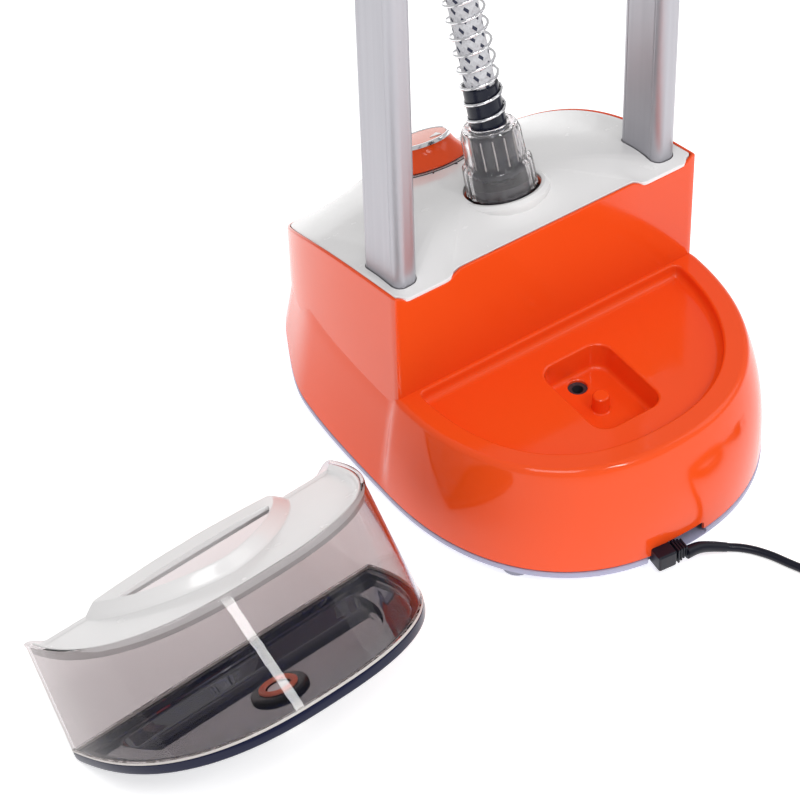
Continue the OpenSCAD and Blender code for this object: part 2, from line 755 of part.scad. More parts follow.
// Face of the head, drawn in the upright plane and pushed along the depth
module head_slab(w0, w1, h, y0, y1) {
    translate([0, y1, head_z + 17])
        rotate([90, 0, 0])
            linear_extrude(y1 - y0)
                head_outline(w0, w1, h);
}
module head_back() {
    color("white") at_head() difference() {
        head_slab(60, 112, 80, -16, 20);
        translate([0, 0, 3]) head_slab(54, 102, 73, -20, 17);
    }
}
module head_shell() {
    color([0.95, 0.35, 0.12]) at_head() difference() {
        head_slab(60, 112, 80, -30, -16);
        translate([0, 0, 3]) head_slab(54, 102, 73, -40, 0);
    }
}
module head_plate() {
    color("silver") at_head() difference() {
        translate([0, 0, 3.2]) head_slab(53.6, 101.6, 72.6, -33, -29);
        for (x = [-36, -18, 0, 18, 36], z = [22, 44, 62]) if (abs(x) < 12 + z * 0.5)
            translate([x, -25, head_z + 17 + z]) rotate([90, 0, 0]) cylinder(r = 1.6, h = 20, $fn = 24);
    }
}

// ---- tank ----

function tank_outline(inset) = concat(
    front_arc(tank_a - inset, tank_b - inset, tank_n, 48));

// How much of its depth the tank keeps at a height
function tank_share(z) = 1 - (1 - tank_top / tank_b) * max(0, z - tray_h) / (tank_h - tray_h);
module tank_d(inset, z0, z1) {
    translate([0, 0, z0])
        linear_extrude(z1 - z0, scale = [1, tank_share(z1) / tank_share(z0)], slices = 1)
            scale([1, tank_share(z0)])
                intersection() {
                    polygon(tank_outline(inset));
                    translate([-big / 2, -big - inset]) square(big);
                }
}
module tank_tray() {
    color([0.08, 0.09, 0.18]) at_tank() difference() {
        union() {
            tank_d(0, 0, tray_h);
            tray_basin(0, plug_floor, -plug_floor + 1);
        }
        tank_d(8, tray_t, 20);
        tray_basin(tray_t, plug_floor + tray_t, 30);
        translate([0, valve_y, -20]) cylinder(r = 15, h = 40, $fn = 64);
    }
}

// The part of the tray that sinks into the seat, smaller all round by inset
module tray_basin(inset, z0, h) {
    translate([0, -8, z0])
        linear_extrude(h)
            intersection() {
                polygon(front_arc(100 - inset, 106 - inset, 2.3, 40));
                translate([-big / 2, -big - 9 - inset]) square(big);
            }
}
module tray_seal() {
    color("lightgray") at_tank() difference() {
        tank_d(0.6, tray_h, tray_h + 1.6);
        tank_d(3.4, tray_h - 1, tray_h + 3);
    }
}
module tank_shell() {
    color([0.75, 0.7, 0.7, 0.4]) at_tank() difference() {
        tank_d(0, tray_h + 1.6, tank_h);
        tank_d(2.5, tray_h - 1, tank_h + 5);
    }
}

// The lid is a shallow tray in the rim of the tank, with a raised pod round the hand opening
module tank_lid() {
    color("white") at_tank() difference() {
        union() {
            difference() {
                tank_d(2.8, lid_z, tank_h - 0.5);
                tank_d(5.3, lid_z + lid_t, tank_h + 5);
            }
            hull() {
                translate([0, -3, lid_z]) linear_extrude(1) polygon(front_arc(80, 62, 1.55, 32));
                translate([0, -3, tank_h]) linear_extrude(pod_h) polygon(front_arc(70, 58, 1.5, 32));
            }
        }
        translate([0, -20, lid_z - 5])
            linear_extrude(40)
                polygon(front_arc(60, 39, 1.4, 32));
    }
}

// Screw cap with the spring valve that the peg in the sump opens
module at_valve() { at_tank() translate([0, valve_y, 0]) children(); }
module valve_cap() {
    color([0.06, 0.07, 0.14]) at_valve() {
        ring(valve_r, 8.4, valve_tip, plug_floor - 0.6);
        ring(14.9, 8.4, plug_floor - 0.6, valve_seat);
        ring(8.4, 3.2, valve_seat - 4, valve_seat - 1);
        ring(20, 8.4, valve_seat, valve_seat + 3);
    }
}
module valve_gasket() { color("orangered") at_valve() ring(13.6, 9, valve_seat + 3, valve_seat + 5); }
module valve_stem() {
    color("white") at_valve() {
        translate([0, 0, stem_tip]) cylinder(r = 6, h = 3, $fn = 48);
        translate([0, 0, stem_tip + 2]) cylinder(r = 3.15, h = valve_seat - stem_tip - 2, $fn = 48);
        translate([0, 0, valve_seat - 0.7]) cylinder(r = 7.8, h = 3, $fn = 48);
    }
}
module valve_spring() { color("silver") at_valve() ring(6, 4.4, stem_tip + 3.4, valve_seat - 4.4); }

base_plate();
base_feet();
base_screws();
body_shell();
tank_seat();
sump_cup();
top_cover();
pole_sockets();
outer_pole(-1);  // outer_pole_left
outer_pole(1);  // outer_pole_right
pole_collar(-1);  // pole_collar_left
pole_collar(1);  // pole_collar_right
hose_seal_ring();
steam_outlet();
outlet_o_ring();
hose_end_fitting();
boiler_body();
boiler_gasket();
boiler_lid();
boiler_screws();
heater_element();
thermostat();
thermal_fuse();
inlet_fitting();
inlet_tube();
steam_pipe();
rotary_switch();
terminal_block();
cord_bushing();
cord_clamp();
mains_cord();
mains_coil();
mains_plug();
plug_pins();
steam_hose();
hose_spring();
knob_skirt();
knob_cap();
knob_ring();
hose_nut();
lock_lever(-1);  // lock_lever_left
lock_lever(1);  // lock_lever_right
inner_pole(-1);  // inner_pole_left
inner_pole(1);  // inner_pole_right
top_bar();
head_cradle();
hanger_arm(-1);  // hanger_arm_left
hanger_arm(1);  // hanger_arm_right
head_plate();
head_shell();
head_back();
head_handle();
tank_tray();
tray_seal();
tank_shell();
tank_lid();
valve_cap();
valve_gasket();
valve_stem();
valve_spring();
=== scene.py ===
"""Standing steamer with its water tank lifted off and stood beside the base.

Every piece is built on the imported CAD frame, in metres, +Z up. Local sizes are
given in millimetres from the middle of the tank seat's chord, as in the CAD.
"""

import json
import math

import bmesh
import bpy
from mathutils import Matrix, Vector


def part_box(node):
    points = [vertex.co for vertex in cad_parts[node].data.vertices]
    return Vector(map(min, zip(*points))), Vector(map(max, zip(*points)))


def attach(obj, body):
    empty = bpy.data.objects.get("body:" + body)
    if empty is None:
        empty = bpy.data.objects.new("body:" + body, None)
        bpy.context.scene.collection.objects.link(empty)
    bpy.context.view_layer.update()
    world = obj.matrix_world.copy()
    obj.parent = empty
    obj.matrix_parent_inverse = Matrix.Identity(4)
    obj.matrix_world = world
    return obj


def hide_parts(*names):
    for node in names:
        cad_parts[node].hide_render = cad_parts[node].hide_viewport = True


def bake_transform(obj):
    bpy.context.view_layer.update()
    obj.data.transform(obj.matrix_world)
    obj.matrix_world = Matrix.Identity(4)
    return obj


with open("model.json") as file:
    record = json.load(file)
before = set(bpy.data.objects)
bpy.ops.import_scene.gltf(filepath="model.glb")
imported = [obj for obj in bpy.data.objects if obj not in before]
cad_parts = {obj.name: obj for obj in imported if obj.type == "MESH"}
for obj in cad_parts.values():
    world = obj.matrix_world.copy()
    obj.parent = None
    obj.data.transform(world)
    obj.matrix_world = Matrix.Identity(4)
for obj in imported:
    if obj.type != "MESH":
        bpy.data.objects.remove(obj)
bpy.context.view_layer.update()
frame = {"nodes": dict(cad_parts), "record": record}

# ---- places taken from the frame ----

MM = 0.001
body_low, body_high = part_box("body_shell")
pole_low, pole_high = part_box("outer_pole_left")
inner_low, inner_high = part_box("inner_pole_left")
POLE_X, POLE_Y = 107, 31
VALVE_Y = -61  # the valve in the tank, and the peg in the sump under it
COLLAR_SPOT, COLLAR_TILT = (0, 52.7, 184.5), 19
KNOB_SPOT, KNOB_TILT = (0, 141.3, 147.6), 30


def turned(degrees, axis):
    """A turn about one axis."""
    return Matrix.Rotation(math.radians(degrees), 4, axis)


def shifted(x, y, z):
    """A move in metres, from millimetres."""
    return Matrix.Translation(Vector((x, y, z)) * MM)


BASE = Matrix.Translation(((body_low.x + body_high.x) / 2, (pole_low.y + pole_high.y) / 2 - POLE_Y * MM, 0))
COLLAR = BASE @ shifted(*COLLAR_SPOT) @ turned(-COLLAR_TILT, "X")
KNOB = BASE @ shifted(*KNOB_SPOT) @ turned(-KNOB_TILT, "X")
TANK = BASE @ shifted(-303, -58, 0) @ turned(5, "Z") @ turned(-30.5, "X")
VALVE = TANK @ shifted(0, VALVE_Y, 0)

# ---- small geometry tools ----


def power(value, exponent):
    """A power that keeps the value's sign."""
    return math.copysign(abs(value) ** exponent, value)


def arc(a, b, n, start, end):
    """Points of a superellipse between two angles, in degrees."""
    points = []
    for i in range(181):
        t = math.radians(start + (end - start) * i / 180)
        points.append((a * power(math.cos(t), 2 / n), b * power(math.sin(t), 2 / n)))
    return points


def ramp(value, low, high):
    """A smooth step from 0 at low to 1 at high."""
    t = max(0.0, min(1.0, (value - low) / (high - low)))
    return t * t * (3 - 2 * t)


def resample(points, count):
    """The closed outline as count points at equal distances."""
    closed = points + [points[0]]
    lengths = [0.0]
    for p, q in zip(closed, closed[1:]):
        lengths.append(lengths[-1] + math.dist(p, q))
    result, j = [], 0
    for i in range(count):
        want = lengths[-1] * i / count
        while lengths[j + 1] < want:
            j += 1
        span = lengths[j + 1] - lengths[j]
        t = (want - lengths[j]) / span if span else 0.0
        p, q = closed[j], closed[j + 1]
        result.append(tuple(a + (b - a) * t for a, b in zip(p, q)))
    return result


def soften(points, radius, count):
    """The closed outline with its corners rounded by a moving average."""
    fine = resample(points, 900)
    step = sum(math.dist(p, q) for p, q in zip(fine, fine[1:])) / len(fine)
    reach = max(1, int(radius / step))
    n = len(fine)
    smooth = []
    for i in range(n):
        near = [fine[(i + k) % n] for k in range(-reach, reach + 1)]
        smooth.append((sum(p[0] for p in near) / len(near), sum(p[1] for p in near) / len(near)))
    return resample(smooth, count)


def offset(points, distance):
    """The closed outline moved inwards by distance, for one that runs anticlockwise."""
    n = len(points)
    result = []
    for i, (x, y) in enumerate(points):
        ax, ay = points[i - 1]
        bx, by = points[(i + 1) % n]
        dx, dy = bx - ax, by - ay
        size = math.hypot(dx, dy) or 1.0
        result.append((x - dy / size * distance, y + dx / size * distance))
    return result


def body_plan(half_width, front, back):
    """The outline of the base: a D in front and a squarer one behind, drawn in at its rear corners."""
    outline = arc(half_width, front, 2.25, 180, 360)
    outline += [(x * (1 - 0.062 * ramp(y, 110, 175)), y) for x, y in arc(half_width, back, 3.2, 0, 180)[1:-1]]
    return soften(outline, 1.5, 240)


def raised(points, height):
    """An outline lifted to a height, which may be a function of x and y."""
    return [(x, y, height(x, y) if callable(height) else height) for x, y in points]


def levels(plan, pairs):
    """The plan at each (inset, height)."""
    return [raised(offset(plan, inset), z) for inset, z in pairs]


def rounded_oval(w, d, r, per_corner=10):
    """A rectangle of w by d whose corners have the radius r."""
    points = []
    for sx, sy, start in ((1, 1, 0), (-1, 1, 90), (-1, -1, 180), (1, -1, 270)):
        for i in range(per_corner + 1):
            t = math.radians(start + 90 * i / per_corner)
            points.append((sx * (w / 2 - r) + r * math.cos(t), sy * (d / 2 - r) + r * math.sin(t)))
    return points


def linked(name, data):
    """An object in the scene that shows the data."""
    obj = bpy.data.objects.new(name, data)
    bpy.context.scene.collection.objects.link(obj)
    return obj


def held(name, bm):
    """An object in the scene made of a bmesh, which is used up."""
    mesh = bpy.data.meshes.new(name)
    bm.to_mesh(mesh)
    bm.free()
    return linked(name, mesh)


def new_object(name, bm, matrix, material, angle=32):
    """An object from a bmesh in millimetres in its own frame, moved to the row frame."""
    obj = held(name, bm)
    mesh = obj.data
    mesh.transform(Matrix.Scale(MM, 4))
    mesh.transform(matrix)
    mesh.materials.append(material)
    mesh.polygons.foreach_set("use_smooth", [True] * len(mesh.polygons))
    mesh.set_sharp_from_angle(angle=math.radians(angle))
    return obj


def weighted(obj):
    """Normals that keep big flat faces flat beside their rounded edges."""
    modifier = obj.modifiers.new("normals", "WEIGHTED_NORMAL")
    modifier.keep_sharp = True
    modifier.weight = 80
    return obj


def solid(*details):
    """A new object with weighted normals."""
    return weighted(new_object(*details))


def stack(rings, torus=False):
    """A closed body through rings of equal length; torus joins the last to the first."""
    bm = bmesh.new()
    made = [[bm.verts.new(p) for p in ring] for ring in rings]
    n = len(made[0])
    pairs = list(zip(made, made[1:])) + ([(made[-1], made[0])] if torus else [])
    for low, high in pairs:
        for i in range(n):
            k = (i + 1) % n
            bm.faces.new((low[i], low[k], high[k], high[i]))
    if not torus:
        bm.faces.new(list(reversed(made[0])))
        bm.faces.new(made[-1])
    bmesh.ops.recalc_face_normals(bm, faces=bm.faces)
    return bm


def revolve(profile, segments=96, torus=False, reach=None):
    """A body of revolution about Z through (radius, height) points; reach(radius, height, angle) may ripple it."""
    angles = [math.tau * i / segments for i in range(segments)]
    rings = []
    for r, z in profile:
        radii = [reach(r, z, a) if reach else r for a in angles]
        rings.append([(far * math.cos(a), far * math.sin(a), z) for far, a in zip(radii, angles)])
    return stack(rings, torus)


def fillet(z, radius):
    """(inset, height) pairs of a rounded top edge that ends at height z."""
    pairs = []
    for i in range(7):
        t = math.pi / 2 * i / 6
        pairs.append((radius * (1 - math.cos(t)), z - radius + radius * math.sin(t)))
    return pairs


def merge(*parts):
    """Several bmeshes as one."""
    whole = bmesh.new()
    for part in parts:
        mesh = bpy.data.meshes.new("part")
        part.to_mesh(mesh)
        part.free()
        whole.from_mesh(mesh)
        bpy.data.meshes.remove(mesh)
    return whole


def moved(bm, matrix):
    """The bmesh moved by the matrix, in its own millimetres."""
    bmesh.ops.transform(bm, matrix=matrix, verts=bm.verts)
    return bm


def block(w, d, h, radius=0.6, at=(0, 0, 0)):
    """A box with rounded edges, by its sizes and its middle."""
    bm = bmesh.new()
    bmesh.ops.create_cube(bm, size=1)
    bmesh.ops.scale(bm, vec=(w, d, h), verts=bm.verts)
    bmesh.ops.bevel(
        bm, geom=bm.edges[:], offset=radius, offset_type="OFFSET", segments=3, profile=0.5, affect="EDGES"
    )
    bmesh.ops.translate(bm, vec=at, verts=bm.verts)
    return bm


def boolean(target, *cutters, how="DIFFERENCE"):
    """Applies each cutter to the target, both bmeshes, and gives a bmesh."""
    base = held("target", target)
    tools = [held("cutter", cutter) for cutter in cutters]
    for tool in tools:
        modifier = base.modifiers.new("cut", "BOOLEAN")
        modifier.operation = how
        modifier.solver = "EXACT"
        modifier.object = tool
    done = bpy.data.meshes.new_from_object(base.evaluated_get(bpy.context.evaluated_depsgraph_get()))
    result = bmesh.new()
    result.from_mesh(done)
    for obj in [base] + tools:
        bpy.data.objects.remove(obj)
    bpy.data.meshes.remove(done)
    return result


def catmull(points, per_span):
    """A smooth line through the points."""
    line = []
    last = len(points) - 1
    for i in range(last):
        p0, p1 = points[max(0, i - 1)], points[i]
        p2, p3 = points[i + 1], points[min(last, i + 2)]
        for j in range(per_span):
            t = j / per_span
            bend = (2 * p0 - 5 * p1 + 4 * p2 - p3) * t * t
            twist = (3 * p1 - p0 - 3 * p2 + p3) * t**3
            line.append(0.5 * (2 * p1 + (p2 - p0) * t + bend + twist))
    return line + [points[-1]]


def frames_along(line):
    """Tangent and two normals at each point, carried along without twist."""
    result = []
    normal = None
    for i, p in enumerate(line):
        tangent = (line[min(len(line) - 1, i + 1)] - line[max(0, i - 1)]).normalized()
        if normal is None:
            normal = tangent.orthogonal().normalized()
        normal = (normal - tangent * normal.dot(tangent)).normalized()
        result.append((p, normal, tangent.cross(normal)))
    return result


def tube_mesh(line, radius, sides=16):
    """A round tube with a UV map: turns round it in U and the length along it in V."""
    angles = [math.tau * k / sides for k in range(sides)]
    rings = []
    for i, (p, u, v) in enumerate(frames_along(line)):
        r = radius(i / (len(line) - 1)) if callable(radius) else radius
        rings.append([p + (u * math.cos(a) + v * math.sin(a)) * r for a in angles])
    bm = stack(rings)
    lengths = [0.0]
    for p, q in zip(line, line[1:]):
        lengths.append(lengths[-1] + (q - p).length)
    bm.verts.ensure_lookup_table()
    bm.verts.index_update()
    layer = bm.loops.layers.uv.new("UVMap")
    for face in bm.faces:
        if len(face.verts) != 4:
            continue
        turns = [loop.vert.index % sides for loop in face.loops]
        wraps = max(turns) - min(turns) > 1
        for loop in face.loops:
            turn = loop.vert.index % sides
            if wraps and turn == 0:
                turn = sides
            loop[layer].uv = (turn / sides, lengths[loop.vert.index // sides])
    return bm


# ---- materials ----


def shader(name, color, roughness=0.3, metallic=0.0, coat=0.0, transmission=0.0, ior=1.5, sheen=0.0):
    """A material with a Principled shader, and its node tree's main nodes."""
    material = bpy.data.materials.new(name)
    material.use_nodes = True
    tree = material.node_tree
    bsdf = tree.nodes["Principled BSDF"]
    values = {
        "Base Color": (*color, 1),
        "Roughness": roughness,
        "Metallic": metallic,
        "Coat Weight": coat,
        "Coat Roughness": 0.04,
        "Transmission Weight": transmission,
        "IOR": ior,
        "Sheen Weight": sheen,
    }
    for socket, value in values.items():
        bsdf.inputs[socket].default_value = value
    material.diffuse_color = (*color, 1)
    return material, tree, bsdf


def noise(tree, scale, detail, stretch=(1, 1, 1)):
    """The value of a noise in the object's own space."""
    coords = tree.nodes.new("ShaderNodeTexCoord")
    mapping = tree.nodes.new("ShaderNodeMapping")
    mapping.inputs["Scale"].default_value = stretch
    texture = tree.nodes.new("ShaderNodeTexNoise")
    texture.inputs["Scale"].default_value = scale
    texture.inputs["Detail"].default_value = detail
    tree.links.new(coords.outputs["Object"], mapping.inputs["Vector"])
    tree.links.new(mapping.outputs["Vector"], texture.inputs["Vector"])
    return texture.outputs["Fac"]


def vary(tree, bsdf, source, low, high):
    """Drives the roughness between two values."""
    spread = tree.nodes.new("ShaderNodeMapRange")
    for socket, value in {"From Min": 0.3, "From Max": 0.7, "To Min": low, "To Max": high}.items():
        spread.inputs[socket].default_value = value
    tree.links.new(source, spread.inputs["Value"])
    tree.links.new(spread.outputs["Result"], bsdf.inputs["Roughness"])


def tint(tree, bsdf, source, first, second):
    """Drives the colour between two values."""
    mix = tree.nodes.new("ShaderNodeMix")
    mix.data_type = "RGBA"
    mix.inputs["A"].default_value = (*first, 1)
    mix.inputs["B"].default_value = (*second, 1)
    tree.links.new(source, mix.inputs["Factor"])
    tree.links.new(mix.outputs["Result"], bsdf.inputs["Base Color"])


def bump(tree, bsdf, source, strength, distance):
    """Roughens the surface by a height in metres."""
    node = tree.nodes.new("ShaderNodeBump")
    node.inputs["Strength"].default_value = strength
    node.inputs["Distance"].default_value = distance
    tree.links.new(source, node.inputs["Height"])
    tree.links.new(node.outputs["Normal"], bsdf.inputs["Normal"])


def moulded(name, color, low, high, coat=0.3, shift=0.06, grain=0.02, ior=1.5):
    """Injection-moulded plastic: faint flow marks in its colour and gloss, and a fine grain."""
    material, tree, bsdf = shader(name, color, low, coat=coat, ior=ior)
    tint(tree, bsdf, noise(tree, 6, 2), [c * (1 - shift) for c in color], [min(1, c * (1 + shift)) for c in color])
    vary(tree, bsdf, noise(tree, 55, 6, (1, 1, 0.3)), low, high)
    bump(tree, bsdf, noise(tree, 900, 2), grain, 0.0002)
    return material


def clear(name, color, roughness, ior, scratches, haze=0.0):
    """Clear moulded plastic with faint wipe marks."""
    material, tree, bsdf = shader(name, color, roughness, transmission=1.0 - haze, ior=ior)
    vary(tree, bsdf, noise(tree, 40, 5, (1, 1, 0.15)), roughness, roughness + scratches)
    tint(tree, bsdf, noise(tree, 5, 2), [c * 0.97 for c in color], color)
    return material


def metal(name, color, low, high, stretch=(1, 1, 0.02), scale=260.0, grain=0.05):
    """Metal with fine lines in it, as long as the stretch makes them."""
    material, tree, bsdf = shader(name, color, low, metallic=1.0)
    lines = noise(tree, scale, 4, stretch)
    vary(tree, bsdf, lines, low, high)
    tint(tree, bsdf, noise(tree, 20, 3, stretch), [c * 0.93 for c in color], color)
    bump(tree, bsdf, lines, grain, 0.0001)
    return material


def braided(name, light, dark):
    """A woven sheath: two sets of crossing strands, with dark flecks in rows."""
    material, tree, bsdf = shader(name, light, 0.6, sheen=0.15)
    uv = tree.nodes.new("ShaderNodeUVMap")
    uv.uv_map = "UVMap"
    split = tree.nodes.new("ShaderNodeSeparateXYZ")
    tree.links.new(uv.outputs["UV"], split.inputs["Vector"])

    def maths(kind, *values):
        node = tree.nodes.new("ShaderNodeMath")
        node.operation = kind
        for socket, value in zip(node.inputs, values):
            if isinstance(value, (int, float)):
                socket.default_value = value
            else:
                tree.links.new(value, socket)
        return node.outputs["Value"]

    def strands(how, turns, rows):
        """Waves that climb the hose, by their number round it and in each metre of it."""
        round_it = maths("MULTIPLY", split.outputs["X"], turns)
        along = maths("MULTIPLY", split.outputs["Y"], rows)
        return maths("SINE", maths("MULTIPLY", maths(how, round_it, along), math.tau))

    weave = maths("MAXIMUM", strands("ADD", 14.0, 190.0), strands("SUBTRACT", 14.0, 190.0))
    fleck_row, fleck_cut = strands("ADD", 7.0, 95.0), strands("SUBTRACT", 7.0, 47.5)
    fleck = maths("MULTIPLY", maths("GREATER_THAN", fleck_row, 0.55), maths("GREATER_THAN", fleck_cut, 0.1))
    tint(tree, bsdf, fleck, light, dark)
    bump(tree, bsdf, weave, 0.5, 0.0006)
    return material


ORANGE = moulded("orange_plastic", (0.85, 0.078, 0.01), 0.08, 0.16, coat=0.05, ior=1.37)
PALE_ORANGE = moulded("pale_orange_plastic", (0.9, 0.2, 0.1), 0.15, 0.25)
WHITE = moulded("white_plastic", (0.83, 0.82, 0.82), 0.16, 0.28, shift=0.015)
LAVENDER = moulded("base_plastic", (0.37, 0.37, 0.52), 0.3, 0.42, coat=0.1, shift=0.03)
FOOT = moulded("foot_rubber", (0.3, 0.3, 0.38), 0.55, 0.7, coat=0.0, grain=0.15)
DARK = moulded("dark_plastic", (0.035, 0.035, 0.045), 0.35, 0.5, coat=0.0, grain=0.1)
BLACK = moulded("black_plastic", (0.004, 0.006, 0.018), 0.16, 0.28, coat=0.0, grain=0.05, ior=1.4)
RUBBER = moulded("black_rubber", (0.005, 0.006, 0.014), 0.3, 0.45, coat=0.0, grain=0.15, ior=1.36)
TRAY = moulded("tray_plastic", (0.003, 0.007, 0.05), 0.0, 0.01, coat=0.2, grain=0.0, ior=2.3)
SALMON = moulded("salmon_rubber", (0.82, 0.22, 0.14), 0.3, 0.45, coat=0.0)
NAVY = moulded("navy_plastic", (0.003, 0.005, 0.03), 0.1, 0.2, coat=0.0, ior=1.36)
CORD = moulded("cord_sheath", (0.003, 0.004, 0.013), 0.22, 0.34, coat=0.0, grain=0.06, ior=1.36)
SEAL = moulded("grey_seal", (0.62, 0.58, 0.56), 0.35, 0.5, coat=0.0, shift=0.03)
RED_RUBBER = moulded("orange_rubber", (0.75, 0.12, 0.05), 0.35, 0.5, coat=0.0)
MAROON = moulded("clip_plastic", (0.12, 0.006, 0.008), 0.25, 0.4, coat=0.1)
CLEAR = clear("clear_plastic", (0.99, 0.97, 0.98), 0.03, 1.3, 0.03, 0.04)
SMOKE = clear("smoke_plastic", (0.7, 0.665, 0.67), 0.0, 1.22, 0.003)
POLE = metal("pole_aluminium", (0.47, 0.465, 0.5), 0.4, 0.5)
CHROME = metal("chrome_metal", (0.85, 0.85, 0.87), 0.06, 0.14, (1, 1, 1), 120, 0.02)
STEEL = metal("brushed_steel", (0.6, 0.6, 0.62), 0.22, 0.36, (1, 0.05, 1))
CAST = metal("cast_metal", (0.6, 0.6, 0.61), 0.4, 0.6, (1, 1, 1), 300, 0.2)
BRAID = braided("hose_braid", (0.66, 0.66, 0.69), (0.02, 0.025, 0.06))
SILICONE = moulded("pale_silicone", (0.75, 0.73, 0.68), 0.4, 0.55, coat=0.0)

NODE_MATERIALS = {
    "orange_plastic": ORANGE,
    "pale_orange": PALE_ORANGE,
    "white_plastic": WHITE,
    "base_plastic": LAVENDER,
    "rubber_grey": FOOT,
    "steel": STEEL,
    "dark_plastic": DARK,
    "pole_aluminium": POLE,
    "orange_rubber": RED_RUBBER,
    "black_rubber": RUBBER,
    "navy_plastic": NAVY,
    "cast_metal": CAST,
    "red_silicone": RED_RUBBER,
    "pale_silicone": SILICONE,
    "cord_pvc": CORD,
    "chrome_metal": CHROME,
    "hose_braid": BRAID,
    "clear_plastic": CLEAR,
    "grey_seal": SEAL,
    "smoke_plastic": SMOKE,
}
node_slots = {s["node"]: s["material_slot"] for s in frame["record"]["subparts"]}
for node_name, node_object in frame["nodes"].items():
    node_object.data.materials.clear()
    node_object.data.materials.append(NODE_MATERIALS[node_slots[node_name]])

# ---- camera ----

camera = linked("camera", bpy.data.cameras.new("camera"))
camera.data.sensor_width = 36
camera.data.lens = 141.4
camera.data.clip_end = 20
right = Vector((0.8223, -0.5685, -0.0244))
up = Vector((0.4144, 0.5690, 0.7103))
forward = Vector((0.3899, 0.5942, -0.7035))
facing = Matrix((right, up, -forward)).transposed().to_4x4()
camera.matrix_world = Matrix.Translation(BASE @ Vector((-0.947, -1.255, 1.582))) @ facing
bpy.context.scene.camera = camera

# ---- mains cord, coil and plug ----

CORD_R = 3
cord_route = [
    (-4, -163.5, 12.5), (6, -164, 11.5), (16, -166, 8), (26, -170, 4.5), (36, -177, 3), (45, -190, 3),
    (52, -206, 3), (59, -222, 3), (67, -240, 3), (76, -258, 3), (84, -273, 3),
]  # fmt: skip
lead_route = [(159, -258, 15), (159.5, -248, 14.5), (161, -237, 12), (164, -226, 9), (168, -215, 8)]
COIL_X, COIL_Y = 120, -258
COIL_COLUMNS = [(39, 3), (33, 3), (27, 3), (27, 9), (33, 9), (39, 9), (39, 15), (39, 15)]
start_angle = math.atan2(cord_route[-1][1] - COIL_Y, cord_route[-1][0] - COIL_X)
total_turns = 7 - start_angle / math.tau % 1 + 1  # it ends where the lead to the plug starts


def coil_point(turns):
    """A place in the coil: three columns and three layers, stepping in the last quarter of a turn."""
    whole = int(turns)
    r0, z0 = COIL_COLUMNS[whole]
    r1, z1 = COIL_COLUMNS[min(whole + 1, len(COIL_COLUMNS) - 1)]
    step = ramp(turns - whole, 0.72, 1.0)
    radius, height = r0 + (r1 - r0) * step, z0 + (z1 - z0) * step
    angle = start_angle + math.tau * turns
    return (COIL_X + radius * math.cos(angle), COIL_Y + radius * math.sin(angle), height)


coil_points = [coil_point(total_turns * i / 180) for i in range(1, 180)]
cord_points = [BASE @ (Vector(p) * MM) for p in cord_route[:-1] + [coil_point(0)] + coil_points + lead_route]
cord_curve = bpy.data.curves.new("mains_cord_curve", "CURVE")
cord_curve.dimensions = "3D"
cord_curve.bevel_depth = CORD_R * MM
cord_curve.bevel_resolution = 5
cord_curve.resolution_u = 4
cord_curve.use_fill_caps = True
spline = cord_curve.splines.new("BEZIER")
spline.bezier_points.add(len(cord_points) - 1)
for point, place in zip(spline.bezier_points, cord_points):
    point.co = place
    point.handle_left_type = point.handle_right_type = "AUTO"
cord_curve.materials.append(CORD)
mains_cord = linked("mains_cord_piece", cord_curve)
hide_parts("mains_cord", "mains_coil")
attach(mains_cord, "base")

PLUG = BASE @ shifted(*lead_route[-1]) @ turned(70, "Z") @ turned(90, "Y")
plug_levels = [
    (-14, 7.4, 7.4, 3.6), (-8, 8, 8, 3.9), (0, 9, 9, 4.3), (8, 11.5, 11.5, 5.4), (16, 15, 18, 6.5),
    (19, 15.6, 24, 7), (21, 16, 26, 7.2), (30, 16, 26, 7.2), (37, 16, 26, 7.2), (38.6, 15.6, 25.6, 7),
    (39.6, 14.6, 24.6, 6.5), (40, 13, 23, 6),
]  # fmt: skip
plug_parts = [stack([raised(resample(rounded_oval(w, d, r), 64), z) for z, w, d, r in plug_levels])]
for z in (-12, -9, -6, -3, 0, 3):
    rib = 5.2 + (z + 12) * 0.06
    plug_parts.append(revolve([(3.6, z - 0.7), (rib, z - 0.7), (rib, z + 0.7), (3.6, z + 0.7)], 40, True))
mains_plug = solid("mains_plug_piece", merge(*plug_parts), PLUG, RUBBER)
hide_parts("mains_plug")
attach(mains_plug, "base")

# ---- steam hose and its wire spring ----

HOSE_R = 10.5
hose_route = [
    (0, 71.5, 239.3), (0, 79, 261), (0, 94, 305), (0, 110, 352), (0, 126, 400), (0, 141, 450),
    (0, 153, 505), (0, 162, 565), (0, 166, 630), (0, 165, 700), (0, 159, 770), (0, 147, 840),
    (0, 129, 905), (0, 106, 962), (0, 77, 1016), (0, 45, 1063), (0, 14, 1104), (0, -9, 1140),
    (0, -21, 1168), (0, -25, 1195), (0, -25, 1225), (0, -25, 1272),
]  # fmt: skip
PER_SPAN = 10
SPRING_SPANS = 9
hose_line = catmull([Vector(p) for p in hose_route], PER_SPAN)
hose_mesh = tube_mesh(hose_line, HOSE_R, 28)
# the braid's pattern is in metres along the hose
hose_uv = hose_mesh.loops.layers.uv["UVMap"]
for hose_face in hose_mesh.faces:
    for hose_loop in hose_face.loops:
        hose_loop[hose_uv].uv.y *= MM
steam_hose = new_object("steam_hose_piece", hose_mesh, BASE, BRAID)
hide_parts("steam_hose")

